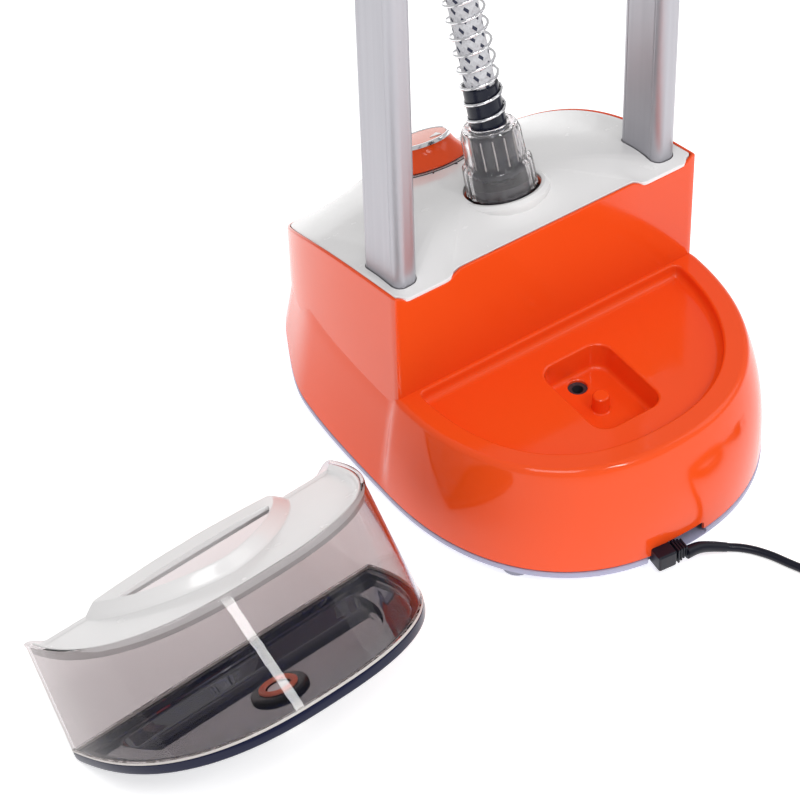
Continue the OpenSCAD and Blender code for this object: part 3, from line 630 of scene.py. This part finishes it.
# the spring starts on the collar's axis and goes on round the hose
spring_axis = [COLLAR @ Vector((0, 0, z * MM)) for z in (51, 57)]
for p in hose_line[: SPRING_SPANS * PER_SPAN + 1]:
    place = BASE @ (p * MM)
    if (COLLAR.inverted() @ place).z > 62 * MM:
        spring_axis.append(place)
spring_axis = catmull(spring_axis, 4)
SPRING_R, WIRE_R, PITCH = 13.8 * MM, 1.15 * MM, 12.0 * MM
travel = 0.0
helix = []
framed = frames_along(spring_axis)
for (p, u, v), (q, _, _) in zip(framed, framed[1:]):
    parts = max(1, int((q - p).length / PITCH * 22))
    for k in range(parts):
        t = k / parts
        angle = math.tau * (travel + (q - p).length * t) / PITCH
        helix.append(p.lerp(q, t) + (u * math.cos(angle) + v * math.sin(angle)) * SPRING_R)
    travel += (q - p).length
spring_mesh = tube_mesh([p / MM for p in helix], WIRE_R / MM, 8)
hose_spring = new_object("hose_spring_piece", spring_mesh, Matrix(), CHROME, 60)
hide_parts("hose_spring")

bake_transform(steam_hose)
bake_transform(hose_spring)

# ---- orange shell ----

HALF_W, REACH, SEAT = 125, 215, 140
DECK, TOP, FLOOR = 97, 188, 14
RECESS_Z, SUMP_Z = 87, 65
WALL = 2.2
HOUSING_N = 3.14


def rim_z(y):
    """Height of the housing's rim, which falls away towards the back."""
    y = max(0.0, y)
    return TOP - 0.198 * y - 0.00000733 * y**3


def lobe(x):
    """The pads round the poles, from 0 outside them to 1."""
    return ramp(abs(x), 70, 84) * (1 - ramp(abs(x), 113, 123))


def skirt_grow(z):
    """How far the skirt has spread at a height: 9 at its foot, 0 at the deck."""
    return 9 * (1 - ((z - FLOOR) / (DECK - FLOOR)) ** 2.6)


def side_inset(z):
    """How much slimmer the skirt is beside and behind the housing, where it runs into its wall."""
    t = (min(z, DECK) - FLOOR) / (DECK - FLOOR)
    return 1 + 1.28 * skirt_grow(min(z, DECK)) - 12.5 * (1 - t) ** 1.3 + 1.2 * ramp(t, 0.75, 1)


def skirt_level(z, edge=0.0):
    """A level of the skirt: under the rim at the back, and tucked into the housing beside it."""
    g = skirt_grow(min(z, DECK))
    plain = body_plan(HALF_W + 1 + 1.28 * g, SEAT + 1.7 * g, REACH + 1 + 0.6 * g)
    rounded = offset(plain, edge)
    tucked = offset(plain, edge + side_inset(z))
    level = []
    for (x0, y0), (x1, y1) in zip(rounded, tucked):
        beside = ramp(y0, -3, 10)
        x, y = x0 + (x1 - x0) * beside, y0 + (y1 - y0) * beside
        top = min(DECK, rim_z(y) - 1.2)
        level.append((x, y, FLOOR + (z - FLOOR) * (top - FLOOR) / (DECK - FLOOR)))
    return level


skirt_rings = [skirt_level(FLOOR, 0.9), skirt_level(FLOOR + 0.9)]
skirt_rings += [skirt_level(z) for z in (20, 28, 38, 48, 57, 65, 72, 78, 83, 87, 90, 92.5)]
skirt = stack(skirt_rings + [skirt_level(z, inset) for inset, z in fillet(DECK, 3.5)])

housing_plan = soften([(-HALF_W, 0), (HALF_W, 0)] + arc(HALF_W, REACH, HOUSING_N, 0, 180)[1:-1], 2.2, 300)
cavity_front = [(-HALF_W + WALL, WALL + 1), (HALF_W - WALL, WALL + 1)]
cavity_plan = soften(cavity_front + arc(HALF_W - WALL, REACH - WALL, HOUSING_N, 2, 178), 2, 240)


def housing_top(drop):
    """The rim's height less a drop, and lower still where the cover's pads reach over it."""
    return lambda x, y: rim_z(y) - drop - 6.5 * lobe(x) * (1 - ramp(y, 1, 9))


rim_levels = ((0, 1.2), (0.1, 0.7), (0.35, 0.3), (0.75, 0.05), (1.2, 0), (1.9, 0.1), (2.2, 0.6))
housing_levels = [(0, 70)] + [(inset, housing_top(drop)) for inset, drop in rim_levels] + [(WALL, 70)]
housing = stack(levels(housing_plan, housing_levels), torus=True)

under = [(x, y, 10) for x, y, _ in skirt_level(FLOOR, WALL)]
low_cavity = stack([under] + [skirt_level(z, WALL) for z in (FLOOR + 1, 28, 40, 50, 60, 68, 75, 84)])
high_cavity = stack([raised(cavity_plan, 69), raised(cavity_plan, 120)])

RECESS_A, RECESS_B = 110, 123
recess_front = [p for p in arc(RECESS_A, RECESS_B, 2.3, 180, 360) if p[1] < -3.2]
recess_plan = soften(recess_front + [(RECESS_A - 1, -3), (-RECESS_A + 1, -3)], 5, 220)
recess_levels = [
    (5, RECESS_Z), (3.2, 87.25), (1.7, 88), (0.7, 89.1), (0.15, 90.6), (0, 92), (0, 95.2), (-0.3, 96.1), (-0.9, 96.7),
    (-1.9, 97.02), (-2.2, 99),
]  # fmt: skip
recess = stack(levels(recess_plan, recess_levels))

sump_plan = resample([(x, y + VALVE_Y) for x, y in rounded_oval(54, 72, 12, 14)], 120)
sump_cup = stack(levels(sump_plan, [(-2.5, SUMP_Z - 2.5), (-2.5, RECESS_Z - 1)]))
sump_levels = [
    (4, SUMP_Z), (2.4, 65.3), (1.1, 66.1), (0.3, 67.4), (0, 69), (0, 85), (-0.35, 86.1), (-1.1, 86.75), (-2.1, 87.02),
    (-2.3, 90),
]  # fmt: skip
sump = stack(levels(sump_plan, sump_levels))
drain = moved(revolve([(7, 50), (7, 64.3), (7.5, 64.8), (8.2, 65.02), (8.4, 70)], 64), Matrix.Translation((0, -35, 0)))
notch = block(34, 40, 17, 3, (1, -148, 13.5))

shell_mesh = boolean(skirt, low_cavity, high_cavity)
shell_mesh = boolean(shell_mesh, housing, sump_cup, how="UNION")
shell_mesh = boolean(shell_mesh, recess, sump, drain, notch)
peg_profile = [
    (0.01, 64.5), (7.6, 64.5), (7.4, 65.1), (6.5, 65.6), (6, 66.6), (6, 76.4), (5.6, 77.4), (4.8, 78), (0.01, 78.1),
]  # fmt: skip
peg = moved(revolve(peg_profile, 64), Matrix.Translation((0, VALVE_Y, 0)))
shell = solid("shell_piece", merge(shell_mesh, peg), BASE, ORANGE, 30)
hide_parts("body_shell", "tank_seat", "sump_cup")
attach(shell, "base")

# ---- base plate ----

plate_levels = [
    (3, 8), (1.2, 8.2), (0.4, 8.8), (0.1, 9.8), (0, 11), (0.05, 12.4), (0.3, 13), (0.9, 13.4), (1.6, 13.5), (3.4, 13.5),
    (3.4, 10),
]  # fmt: skip
plate_mesh = stack(levels(body_plan(137.5, 156, 220), plate_levels))
cord_slot = block(27, 19, 12, 1.5, (-15.5, -158.5, 14))
cord_arch = block(24, 14, 8, 2, (8, -156, 14))
plate = solid("base_plate_piece", boolean(plate_mesh, cord_slot, cord_arch), BASE, LAVENDER, 30)
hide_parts("base_plate")
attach(plate, "base")

# ---- white cover ----

COVER_MID = Vector((0, 92))
COVER_IN = WALL + 0.3


def cover_z(x, y, s):
    """The cover's top: it swells slowly from its edge, with a mound at the collar and a boss under the knob."""
    mound = 1.4 * ramp(44 - math.hypot(x, y - 53), 0, 13)
    swell = 8 * ramp(1 - s, 0, 0.55) - 4 * lobe(x) * max(0.0, 1 - y / 32)
    top = rim_z(y) + swell + mound
    _, knob_y, knob_z = KNOB_SPOT
    tilt = math.radians(KNOB_TILT)
    boss = knob_z - (y - knob_y) * math.tan(tilt) - 0.6
    return top + (boss - top) * ramp(80 - math.hypot(x, (y - knob_y) / math.cos(tilt)), 0, 44)


def cover_outline():
    """Inside the housing's rim, but over its front edge at the two pads."""
    points = []
    for i in range(121):
        x = -HALF_W + COVER_IN + (2 * (HALF_W - COVER_IN)) * i / 120
        points.append((x, WALL + 1 - (WALL + 0.9) * ramp(lobe(x), 0.35, 0.75)))
    points += arc(HALF_W - COVER_IN, REACH - COVER_IN, HOUSING_N, 2, 178)
    return soften(points, 1.2, 320)


cover_edge = cover_outline()
cover_steps = (1, 0.992, 0.98, 0.96, 0.93, 0.89, 0.84, 0.78, 0.71, 0.63, 0.54, 0.44, 0.33, 0.22, 0.11)


def cover_rings(drop):
    """The cover's rings from its edge inwards, lowered by the drop."""
    rings = []
    for s in cover_steps:
        ring = []
        for x, y in cover_edge:
            px, py = COVER_MID.x + s * (x - COVER_MID.x), COVER_MID.y + s * (y - COVER_MID.y)
            edge_drop = 0.5 if s == 1 and drop == 0 else 0.0
            ring.append((px, py, cover_z(px, py, s) - drop - edge_drop))
        rings.append(ring)
    return rings


cover_mesh = stack(list(reversed(cover_rings(2.5))) + cover_rings(0))
collar_local = Matrix.Translation(COLLAR_SPOT) @ turned(-COLLAR_TILT, "X")
knob_local = Matrix.Translation(KNOB_SPOT) @ turned(-KNOB_TILT, "X")
cuts = [moved(revolve([(27, -30), (27, 40)], 96), collar_local), moved(revolve([(4, -30), (4, 40)], 48), knob_local)]
for side in (-1, 1):
    slot_plan = [(x + side * POLE_X, y + POLE_Y) for x, y in resample(rounded_oval(19.2, 43.2, 7.6), 96)]
    cuts.append(stack([raised(slot_plan, 120), raised(slot_plan, 230)]))
cover_mesh = boolean(cover_mesh, *cuts)
lip_profile = [
    (26.7, -9), (26.7, 0.1), (27.1, 0.8), (28.2, 1.2), (29.8, 1.1), (31, 0.3), (32.5, -1.2), (32.5, -4), (30.5, -9),
]  # fmt: skip
lip = moved(revolve(lip_profile, 96, True), collar_local)
cover = solid("cover_piece", merge(cover_mesh, lip), BASE, WHITE, 28)
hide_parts("top_cover")
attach(cover, "base")

ring_profile = [(25.9, -7), (28.4, -7), (28.4, -1.8), (27.8, -1.2), (26.3, -1.2), (25.9, -1.6)]
seal_ring = new_object("hose_seal_ring_piece", revolve(ring_profile, 96, True), COLLAR, RED_RUBBER, 50)
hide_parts("hose_seal_ring")
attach(seal_ring, "base")

# ---- knob and dial ----

skirt_profile = [(27, 0.5), (29.4, 0.6), (30, 1.1), (29.7, 1.8)]
skirt_profile += [(21 + 8.6 * (1 - i / 12) ** 1.6, 1.8 + 13.2 * i / 12) for i in range(1, 13)]
skirt_profile += [(20.9, 15.5), (18.7, 15.5), (18.7, 13.6), (3.05, 13.6), (3.05, 0.5)]
knob_skirt = solid("knob_skirt_piece", revolve(skirt_profile, 128, True), KNOB, ORANGE)
cap_profile = [(0.01, 15.5), (18.5, 15.5), (18.5, 17.4), (18.2, 17.8), (12, 18.05), (0.01, 18.1)]
knob_cap = solid("knob_cap_piece", revolve(cap_profile, 96), KNOB, PALE_ORANGE)
ring_profile = [(18.6, 15.5), (21.4, 15.5), (21.5, 16.6), (21.2, 17.6), (20.4, 18.2), (19.4, 18.2), (18.7, 17.6)]
knob_ring = solid("knob_ring_piece", revolve(ring_profile, 128, True), KNOB, CHROME)
arrow_plan = [(-0.4, -17.4), (0.4, -17.4), (4.6, -10.5), (-4.6, -10.5)]
arrow = stack([raised(arrow_plan, 18), raised(arrow_plan, 18.5)])
pointer = new_object("knob_pointer", moved(arrow, turned(28, "Z")), KNOB, WHITE)
for piece, node, slot_name in (
    (knob_skirt, "knob_skirt", "orange_plastic"),
    (knob_cap, "knob_cap", "pale_orange"),
    (knob_ring, "knob_ring", "chrome_metal"),
):
    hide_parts(node)
    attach(piece, "knob")
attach(pointer, "knob")


def on_cover(x, y, lift):
    """A point on the cover's surface above (x, y)."""
    s = 0.0
    for test in range(1, 11):
        s = test / 10
        half = HALF_W * s
        reach = s * (REACH - COVER_MID.y if y > COVER_MID.y else COVER_MID.y - 3)
        if (abs(x) / half) ** 3 + (abs(y - COVER_MID.y) / reach) ** 3 <= 1:
            break
    return Vector((x, y, cover_z(x, y, min(1.0, s)) + lift))


def on_dial(radius, degrees):
    """A point just above the cover at a radius and an angle round the knob."""
    a = math.radians(degrees)
    spot = knob_local @ Vector((radius * math.sin(a), -radius * math.cos(a), 0))
    return on_cover(spot.x, spot.y, 0.15)


dial_parts = [tube_mesh([on_dial(33.5, -150 + 250 * i / 48) for i in range(49)], 0.45, 8)]
for i in range(9):
    dial_parts.append(tube_mesh([on_dial(r, -140 + 230 * i / 8) for r in (34, 35.5, 37)], 0.5, 8))
dial = new_object("dial_marks", merge(*dial_parts), BASE, BLACK, 60)
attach(dial, "base")

# ---- hose collar ----

NUT_RIBS, RIDGES = 18, 12
nut_profile = [
    (22, 0.6), (24.6, 0.6), (25, 1.1), (24.6, 18), (24.2, 19.6), (23, 21.4), (21.4, 22.4), (20.9, 23.4), (20.6, 30),
    (20.4, 41), (20, 44), (19, 46.6), (17.6, 48.4), (16, 49), (13.6, 49), (13.2, 48.5), (13.2, 46.4),
    (13.8, 45.8), (17, 45.4), (17.6, 44.6), (17.8, 30), (18, 21.5), (18.8, 20), (21.4, 19), (21.95, 18.2),
]  # fmt: skip


def nut_radius(r, z, a):
    """Ribs round the nut's skirt and soft flutes up its neck."""
    if r > 22.5:
        return r - 0.5 + 0.5 * math.cos(NUT_RIBS * a) ** 3
    return r + 0.25 * math.cos(RIDGES * a) if 22 < z < 45 and r > 19.5 else r


def insert_radius(r, _, a):
    """Ridges along the part of the insert that sits in the nut."""
    return r + 0.9 * max(0.0, math.cos(RIDGES * a)) ** 6 if 14.8 < r < 15.2 else r


nut = solid("hose_nut_piece", revolve(nut_profile, 216, True, nut_radius), COLLAR, CLEAR, 40)
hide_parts("hose_nut")
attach(nut, "collar")

insert_profile = [
    (6, 18.2), (13.6, 18.2), (13.6, 14), (18.6, 14), (19, 14.4), (19, 18), (18.6, 18.5), (15.4, 18.6), (15, 19.2),
    (15, 42), (14.6, 42.7), (12.8, 43), (12.5, 43.6), (12.5, 77.2), (12.2, 77.8), (11.6, 78), (10.6, 78), (10.55, 58),
    (6, 58),
]  # fmt: skip
insert = solid("hose_end_piece", revolve(insert_profile, 192, True, insert_radius), COLLAR, BLACK, 40)
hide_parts("hose_end_fitting")
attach(insert, "base")
ridge_parts = []
for i in range(RIDGES):
    a = math.tau * i / RIDGES
    line = [Vector((16.1 * math.cos(a), 16.1 * math.sin(a), z)) for z in (20, 26, 34, 41.5)]
    ridge_parts.append(tube_mesh(line, 0.45, 8))
ridges = new_object("hose_end_ridges", merge(*ridge_parts), COLLAR, SEAL, 60)
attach(ridges, "base")

# ---- poles ----


def pole_plan(w, d, r, groove=0.0):
    """An oval section with a fine line down each side of its rounded nose."""
    outline = resample(rounded_oval(w, d, r, 16), 260)
    if not groove:
        return outline
    result = []
    for (x0, y0), (x1, y1) in zip(outline, offset(outline, groove)):
        near = min(abs(abs(y0) - (d / 2 - r)), 9)
        t = math.exp(-((near / 0.45) ** 2))
        result.append((x0 + (x1 - x0) * t, y0 + (y1 - y0) * t))
    return result


def pole(name, side, w, d, r, wall, z0, z1, groove):
    """A hollow pole on one side, from z0 to z1, with its ends' edges worn."""
    outer, inside = pole_plan(w, d, r, groove), pole_plan(w - 2 * wall, d - 2 * wall, r - wall)
    worn = offset(outer, 0.4)
    rings = [raised(worn, z0), raised(outer, z0 + 0.5), raised(outer, z1 - 0.5), raised(worn, z1)]
    rings += [raised(inside, z1), raised(inside, z0)]
    mesh = moved(stack(rings, torus=True), Matrix.Translation((side * POLE_X, POLE_Y, 0)))
    return solid(name, mesh, BASE, POLE, 30)


for side, word in ((-1, "left"), (1, "right")):
    outer_pole = pole(f"outer_pole_{word}_piece", side, 18, 42, 7, 1.5, 20, pole_high.z / MM, 0.35)
    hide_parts(f"outer_pole_{word}")
    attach(outer_pole, "base")
    inner_pole = pole(
        f"inner_pole_{word}_piece", side, 14.2, 38.2, 5.1, 1.2, inner_low.z / MM, inner_high.z / MM, 0.25
    )
    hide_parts(f"inner_pole_{word}")
    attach(inner_pole, "upper")

# ---- water tank ----

TANK_W, TANK_FOOT, TANK_TOP, TANK_H, TRAY_H = 124, 137, 106, 89, 8
TANK_N = 2.6
LID_Z = 83.5
CHORD_DROP = 5.9  # how far the shell's rim falls along its flat side


def tank_ring(inset, z, count=260, radius=1.4):
    """The D outline of the tank, inset all round; its front leans back above the tray."""
    a, b = TANK_W - inset, TANK_FOOT - inset
    share = 1 - (1 - TANK_TOP / TANK_FOOT) * max(0, z - TRAY_H) / (TANK_H - TRAY_H)
    front = [p for p in arc(a, b, TANK_N, 180, 360) if p[1] < -inset - 0.01]
    corner = a * (1 - (max(inset, 0) / b) ** TANK_N) ** (1 / TANK_N)
    outline = soften([(-corner, -inset)] + front + [(corner, -inset)], radius, count)
    return [(x, y * share, z) for x, y in outline]


def sunk(level, depth):
    """The level lowered along the chord, so that the rim falls from both corners to the lid's face."""
    result = []
    for x, y, z in level:
        chord = ramp(y, -4.5, -1.2) * (1 - ramp(abs(x), 108, 122))
        result.append((x, y, z - depth * chord))
    return result


shell_levels = [
    (0.3, 9.6), (0, 10), (0, 30), (0, 60), (0, 85.6), (0, 86), (-0.5, 86.5), (-0.6, 87), (-0.6, 88.4), (-0.3, 89),
    (0.4, 89.2), (1.6, 89.1), (2.3, 88.4), (2.5, 87), (2.5, 60), (2.5, 30), (2.5, 9.6),
]  # fmt: skip
shell_rings = [sunk(tank_ring(inset, z), CHORD_DROP * ramp(z, 60, 88)) for inset, z in shell_levels]
tank_shell = solid("tank_shell_piece", stack(shell_rings, torus=True), TANK, SMOKE, 35)
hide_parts("tank_shell")
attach(tank_shell, "tank")

BASIN_Z, TRAY_T = -6.6, 2.4
BASIN_W, BASIN_D, BASIN_N = 100, 106, 2.3
BASIN_IN = 8  # how far the basin's curve is set forward from the tank's flat side


def basin_ring(inset, z, back):
    """The outline of the sunken part of the tray, whose back wall slants."""
    a, b, chord = BASIN_W - inset, BASIN_D - inset, BASIN_IN - back
    front = [p for p in arc(a, b, BASIN_N, 180, 360) if p[1] < chord - 0.01]
    corner = a * (1 - max(-chord / b, 0) ** BASIN_N) ** (1 / BASIN_N)
    outline = soften([(-corner, chord)] + front + [(corner, chord)], 9, 220)
    return [(x, y - BASIN_IN, z) for x, y in outline]


tray_levels = [
    (4, 0.02), (2, 0.3), (0.8, 1.2), (0.2, 3), (0, 6.8), (0.1, 7.6), (0.6, 8), (7.6, 8), (8, 7.6), (8, 5), (8.3, 3.6),
    (9.2, 2.7), (10.5, 2.45), (12, TRAY_T),
]  # fmt: skip
sunk_levels = [(4, -9, 21), (1.6, -8.8, 18.6), (0.4, -8, 17), (0, -6.6, 15.6), (0, 0.6, 10)]
basin_levels = [
    (6.5, BASIN_Z, 24), (4.6, -6.3, 22), (3.2, -5.4, 20.2), (2.6, -4.2, 18.8), (2.4, 0.4, 13.8), (2.3, 1.2, 12.9),
    (1.9, 1.9, 12.2), (1.2, 2.3, 11.4), (0.4, 2.42, 10.6), (0.2, 6, 10.4),
]  # fmt: skip
tray_mesh = stack([tank_ring(inset, z, 220) for inset, z in tray_levels])
sunk_mesh = stack([basin_ring(*level) for level in sunk_levels])
basin_mesh = stack([basin_ring(*level) for level in basin_levels])
valve_hole = moved(revolve([(15, -20), (15, 20)], 96), Matrix.Translation((0, VALVE_Y, 0)))
tray_mesh = boolean(boolean(tray_mesh, sunk_mesh, how="UNION"), basin_mesh, valve_hole)
tray = solid("tank_tray_piece", tray_mesh, TANK, TRAY, 30)
# the tray is polished inside, which starts this far in from the tank's outline, and duller outside
RIM_IN = 7.7
tray.data.materials.append(NAVY)
into_tank = TANK.inverted() @ tray.matrix_world
for face in tray.data.polygons:
    x, y, _ = (into_tank @ face.center) / MM
    facing = into_tank.to_3x3() @ face.normal
    inside = y < -7.8 and (abs(x) / (TANK_W - RIM_IN)) ** TANK_N + (abs(y) / (TANK_FOOT - RIM_IN)) ** TANK_N < 1
    face.material_index = 0 if inside and facing.z > -0.2 else 1
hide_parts("tank_tray")
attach(tray, "tank")

seal_levels = [(0.3, 8), (-0.15, 8.3), (-0.2, 8.9), (0.1, 9.6), (3.2, 9.6), (3.4, 9), (3.4, 8)]
seal_rings = [tank_ring(inset, z, 220) for inset, z in seal_levels]
seal = new_object("tray_seal_piece", stack(seal_rings, torus=True), TANK, SEAL, 40)
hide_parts("tray_seal")
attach(seal, "tank")

# ---- tank lid ----


def lip_ring(inset, z):
    """A level of the lid's edge, which is a lip along the curve and flat along the chord."""
    level = []
    for x, y, _ in tank_ring(inset, LID_Z, 320, 0.8):
        level.append((x, y, LID_Z + (z - LID_Z) * ramp(-y, 2.6, 6) if z > LID_Z else z))
    return level


def pod_arch(x):
    """How far the top of the pod rises towards its middle."""
    return 2.3 * max(0.0, 1 - (x / 70) ** 2)


def pod_ring(w, d, n, z, arched, back=3.0):
    """A level of the pod in the middle of the lid, which holds the hand opening."""
    outline = soften(arc(w, d, n, 180, 360), 2.2, 240)
    return [(x, y - back, z + arched * pod_arch(x)) for x, y in outline]


lid_levels = [
    (3.4, 81), (2.9, 81.3), (2.8, 82), (2.8, 87.4), (2.95, 88.2), (3.3, 88.6), (3.9, 88.7), (4.6, 88.4), (5.1, 87.6),
    (5.6, 86.2), (6.3, 84.9), (7.4, 84.1), (9, 83.65), (11.5, LID_Z),
]  # fmt: skip
pod_levels = [
    (84, 65.5, 1.6, 82, 0), (83.6, 65.2, 1.6, 83.3, 0), (82, 64.2, 1.59, 83.75, 0), (80.6, 63.4, 1.58, 84.5, 0.05),
    (79, 62.4, 1.57, 86, 0.2), (75.5, 60.8, 1.54, 88.6, 0.6), (73, 59.7, 1.52, 90.2, 0.9), (72, 59.1, 1.51, 90.75, 1),
    (71, 58.4, 1.5, 91, 1), (60, 50, 1.5, 91.05, 1),
]  # fmt: skip
under_levels = [(79, 58, 1.52, 78, 0), (78, 57.6, 1.52, 83.4, 0), (70, 53.5, 1.52, 88.4, 0.95)]


def opening_ring(grow, z, arched):
    """The hand opening: a nearly straight back edge and a deep front edge that meet in two tips."""
    outline = arc(60 + grow, 40.5 + grow, 1.48, 180, 360) + arc(60 + grow, 1.6 + grow, 2, 0, 180)[1:-1]
    return [(x, y - 20, z + arched * pod_arch(x)) for x, y in soften(outline, 1.2, 240)]


opening_levels = [(0, 74, 0), (0, 89.6, 1), (0.15, 90.3, 1), (0.5, 90.75, 1), (1.1, 91.02, 1), (1.2, 95, 1)]
lid_plate = stack([lip_ring(*level) for level in lid_levels])
pod = stack([pod_ring(*level) for level in pod_levels])
pod_hollow = stack([pod_ring(*level, back=5.4) for level in under_levels])
opening = stack([opening_ring(*level) for level in opening_levels])
lid_mesh = boolean(boolean(lid_plate, pod, how="UNION"), pod_hollow, opening)
lid = solid("tank_lid_piece", lid_mesh, TANK, WHITE, 40)
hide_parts("tank_lid")
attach(lid, "tank")

# ---- tank valve ----

SEAT_Z = -6.2
cap_profile = [
    (8.4, -28.4), (11.2, -28.4), (12, -27.6), (12, -10.4), (12.6, -9.6), (14.2, -9.5), (14.9, -8.8),
    (14.9, SEAT_Z - 0.3), (19, SEAT_Z), (19.8, SEAT_Z + 0.4), (20, SEAT_Z + 1), (19.7, SEAT_Z + 2),
    (18.6, SEAT_Z + 2.8), (17, SEAT_Z + 3), (8.9, SEAT_Z + 3), (8.4, SEAT_Z + 2.6), (8.4, SEAT_Z - 1),
    (3.2, SEAT_Z - 1), (3.2, SEAT_Z - 4), (8.4, SEAT_Z - 4),
]  # fmt: skip
cap = solid("valve_cap_piece", revolve(cap_profile, 96, True), VALVE, BLACK)
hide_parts("valve_cap")
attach(cap, "cap")
gasket_levels = [
    (9, 3), (13.4, 3), (13.6, 3.4), (13.5, 4.2), (12.6, 4.8), (11.9, 4.2), (11.2, 4.8), (10.4, 4.2), (9.6, 4.8),
    (9, 4.2),
]  # fmt: skip
gasket_profile = [(r, z + SEAT_Z) for r, z in gasket_levels]
gasket = new_object("valve_gasket_piece", revolve(gasket_profile, 72, True), VALVE, SALMON, 50)
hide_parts("valve_gasket")
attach(gasket, "cap")
coil_line = []
for i in range(241):
    a = math.tau * i / 40
    coil_line.append(Vector((5.3 * math.cos(a), 5.3 * math.sin(a), -20 + (SEAT_Z + 15) * i / 240)))
valve_spring = new_object("valve_spring_piece", tube_mesh(coil_line, 0.5, 8), VALVE, CHROME, 60)
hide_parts("valve_spring")
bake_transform(valve_spring)

# ---- cord exit ----

CORD_EXIT = BASE @ shifted(-20, -158.5, 15) @ turned(-6, "Z")
ANCHOR_X, ANCHOR_Y, ANCHOR_Z = 8, -144, 14
bushing_parts = [block(14, 13.4, 13.4, 1.6)]
for i in range(4):
    bushing_parts.append(block(1.5, 12.4 - i * 1.1, 12.4 - i * 1.1, 0.5, (9 + i * 2.3, 0, 0)))
bushing_parts.append(block(9, 8, 8, 0.8, (11, 0, 0)))
bushing = solid("cord_bushing_piece", merge(*bushing_parts), CORD_EXIT, RUBBER)
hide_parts("cord_bushing")
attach(bushing, "base")
sleeve_line = catmull([Vector(p) for p in cord_route[:4]], 8)
sleeve = new_object("cord_sleeve", tube_mesh(sleeve_line, lambda t: 4.6 - 1.3 * t, 20), BASE, RUBBER, 50)
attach(sleeve, "base")


def across(bm, x):
    """A turned shape laid along X at the anchor, with its middle at x."""
    return moved(bm, Matrix.Translation((x, ANCHOR_Y, ANCHOR_Z)) @ turned(90, "Y"))


barrel_profile = [(0.01, -9), (3.2, -9), (3.6, -8.6), (3.6, 8.6), (3.2, 9), (0.01, 9)]
barrel = solid("cord_anchor", across(revolve(barrel_profile, 40), ANCHOR_X), BASE, MAROON)
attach(barrel, "base")
ring_profile = [(3.6, -1), (4.1, -1), (4.1, 1), (3.6, 1)]
anchor_rings = [across(revolve(ring_profile, 40, True), ANCHOR_X + x) for x in (-4, 3)]
anchor = new_object("cord_anchor_rings", merge(*anchor_rings), BASE, CHROME)
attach(anchor, "base")

# ---- rounded copies of the other CAD pieces ----


def refine(node, width, body):
    """A copy of a CAD node with clean faces and rounded edges, which stands for it."""
    slot_name = node_slots[node]
    bm = bmesh.new()
    bm.from_mesh(frame["nodes"][node].data)
    bmesh.ops.remove_doubles(bm, verts=bm.verts, dist=1e-6)
    bmesh.ops.dissolve_limit(bm, angle_limit=math.radians(1.5), verts=bm.verts, edges=bm.edges)
    bmesh.ops.scale(bm, vec=(1 / MM,) * 3, verts=bm.verts)
    piece = new_object(f"{node}_piece", bm, Matrix(), NODE_MATERIALS[slot_name])
    bevel = piece.modifiers.new("edges", "BEVEL")
    bevel.width = width * MM
    bevel.segments = 3
    bevel.limit_method = "ANGLE"
    bevel.angle_limit = math.radians(50)
    bevel.use_clamp_overlap = True
    weighted(piece)
    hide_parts(node)
    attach(piece, body)


ROUNDED = {
    "pole_collar_left": 1.0,
    "pole_collar_right": 1.0,
    "lock_lever_left": 0.8,
    "lock_lever_right": 0.8,
    "top_bar": 1.2,
    "head_cradle": 1.4,
    "hanger_arm_left": 1.6,
    "hanger_arm_right": 1.6,
    "head_shell": 1.0,
    "head_back": 2.0,
    "head_handle": 1.2,
    "base_feet": 1.0,
}
node_bodies = {n: b for b, members in frame["record"]["behaviour"]["bodies"].items() for n in members}
for node_name, width in ROUNDED.items():
    refine(node_name, width, node_bodies[node_name])

# ---- floor and light ----


def area_light(name, place, target, size, size_y, energy):
    data = bpy.data.lights.new(name, "AREA")
    data.shape = "RECTANGLE"
    data.size, data.size_y = size, size_y
    data.energy = energy
    light = linked(name, data)
    light.location = place
    light.rotation_mode = "QUATERNION"
    light.rotation_quaternion = (Vector(target) - Vector(place)).to_track_quat("-Z", "Y")


floor_mesh = bmesh.new()
bmesh.ops.create_grid(floor_mesh, x_segments=2, y_segments=2, size=6000)
floor_material, _, floor_bsdf = shader("floor", (0.9, 0.9, 0.9), 0.6)
floor_bsdf.inputs["Emission Color"].default_value = (1, 1, 1, 1)
floor_bsdf.inputs["Emission Strength"].default_value = 0.6
floor = new_object("floor", floor_mesh, Matrix.Translation((0, 0, -0.0005)), floor_material)

world = bpy.data.worlds.new("studio")
bpy.context.scene.world = world
world.use_nodes = True
background = world.node_tree.nodes["Background"]
background.inputs["Color"].default_value = (1, 1, 1, 1)
background.inputs["Strength"].default_value = 0.56
middle = BASE @ Vector((-0.05, 0, 0.15))
area_light("key", middle + Vector((-0.9, -1.1, 2.7)), middle, 1.2, 1.2, 23)
area_light("fill", middle + Vector((1.8, -0.8, 1.6)), middle, 1.5, 1.5, 8)
# the strip's reflection is the bright stripe down the tank's front
area_light("strip", (0.22, -1.155, 1.28), (-0.21, -0.155, 0.11), 0.11, 0.34, 5)
bpy.context.scene.view_settings.view_transform = "Standard"
bpy.context.scene.view_settings.look = "None"
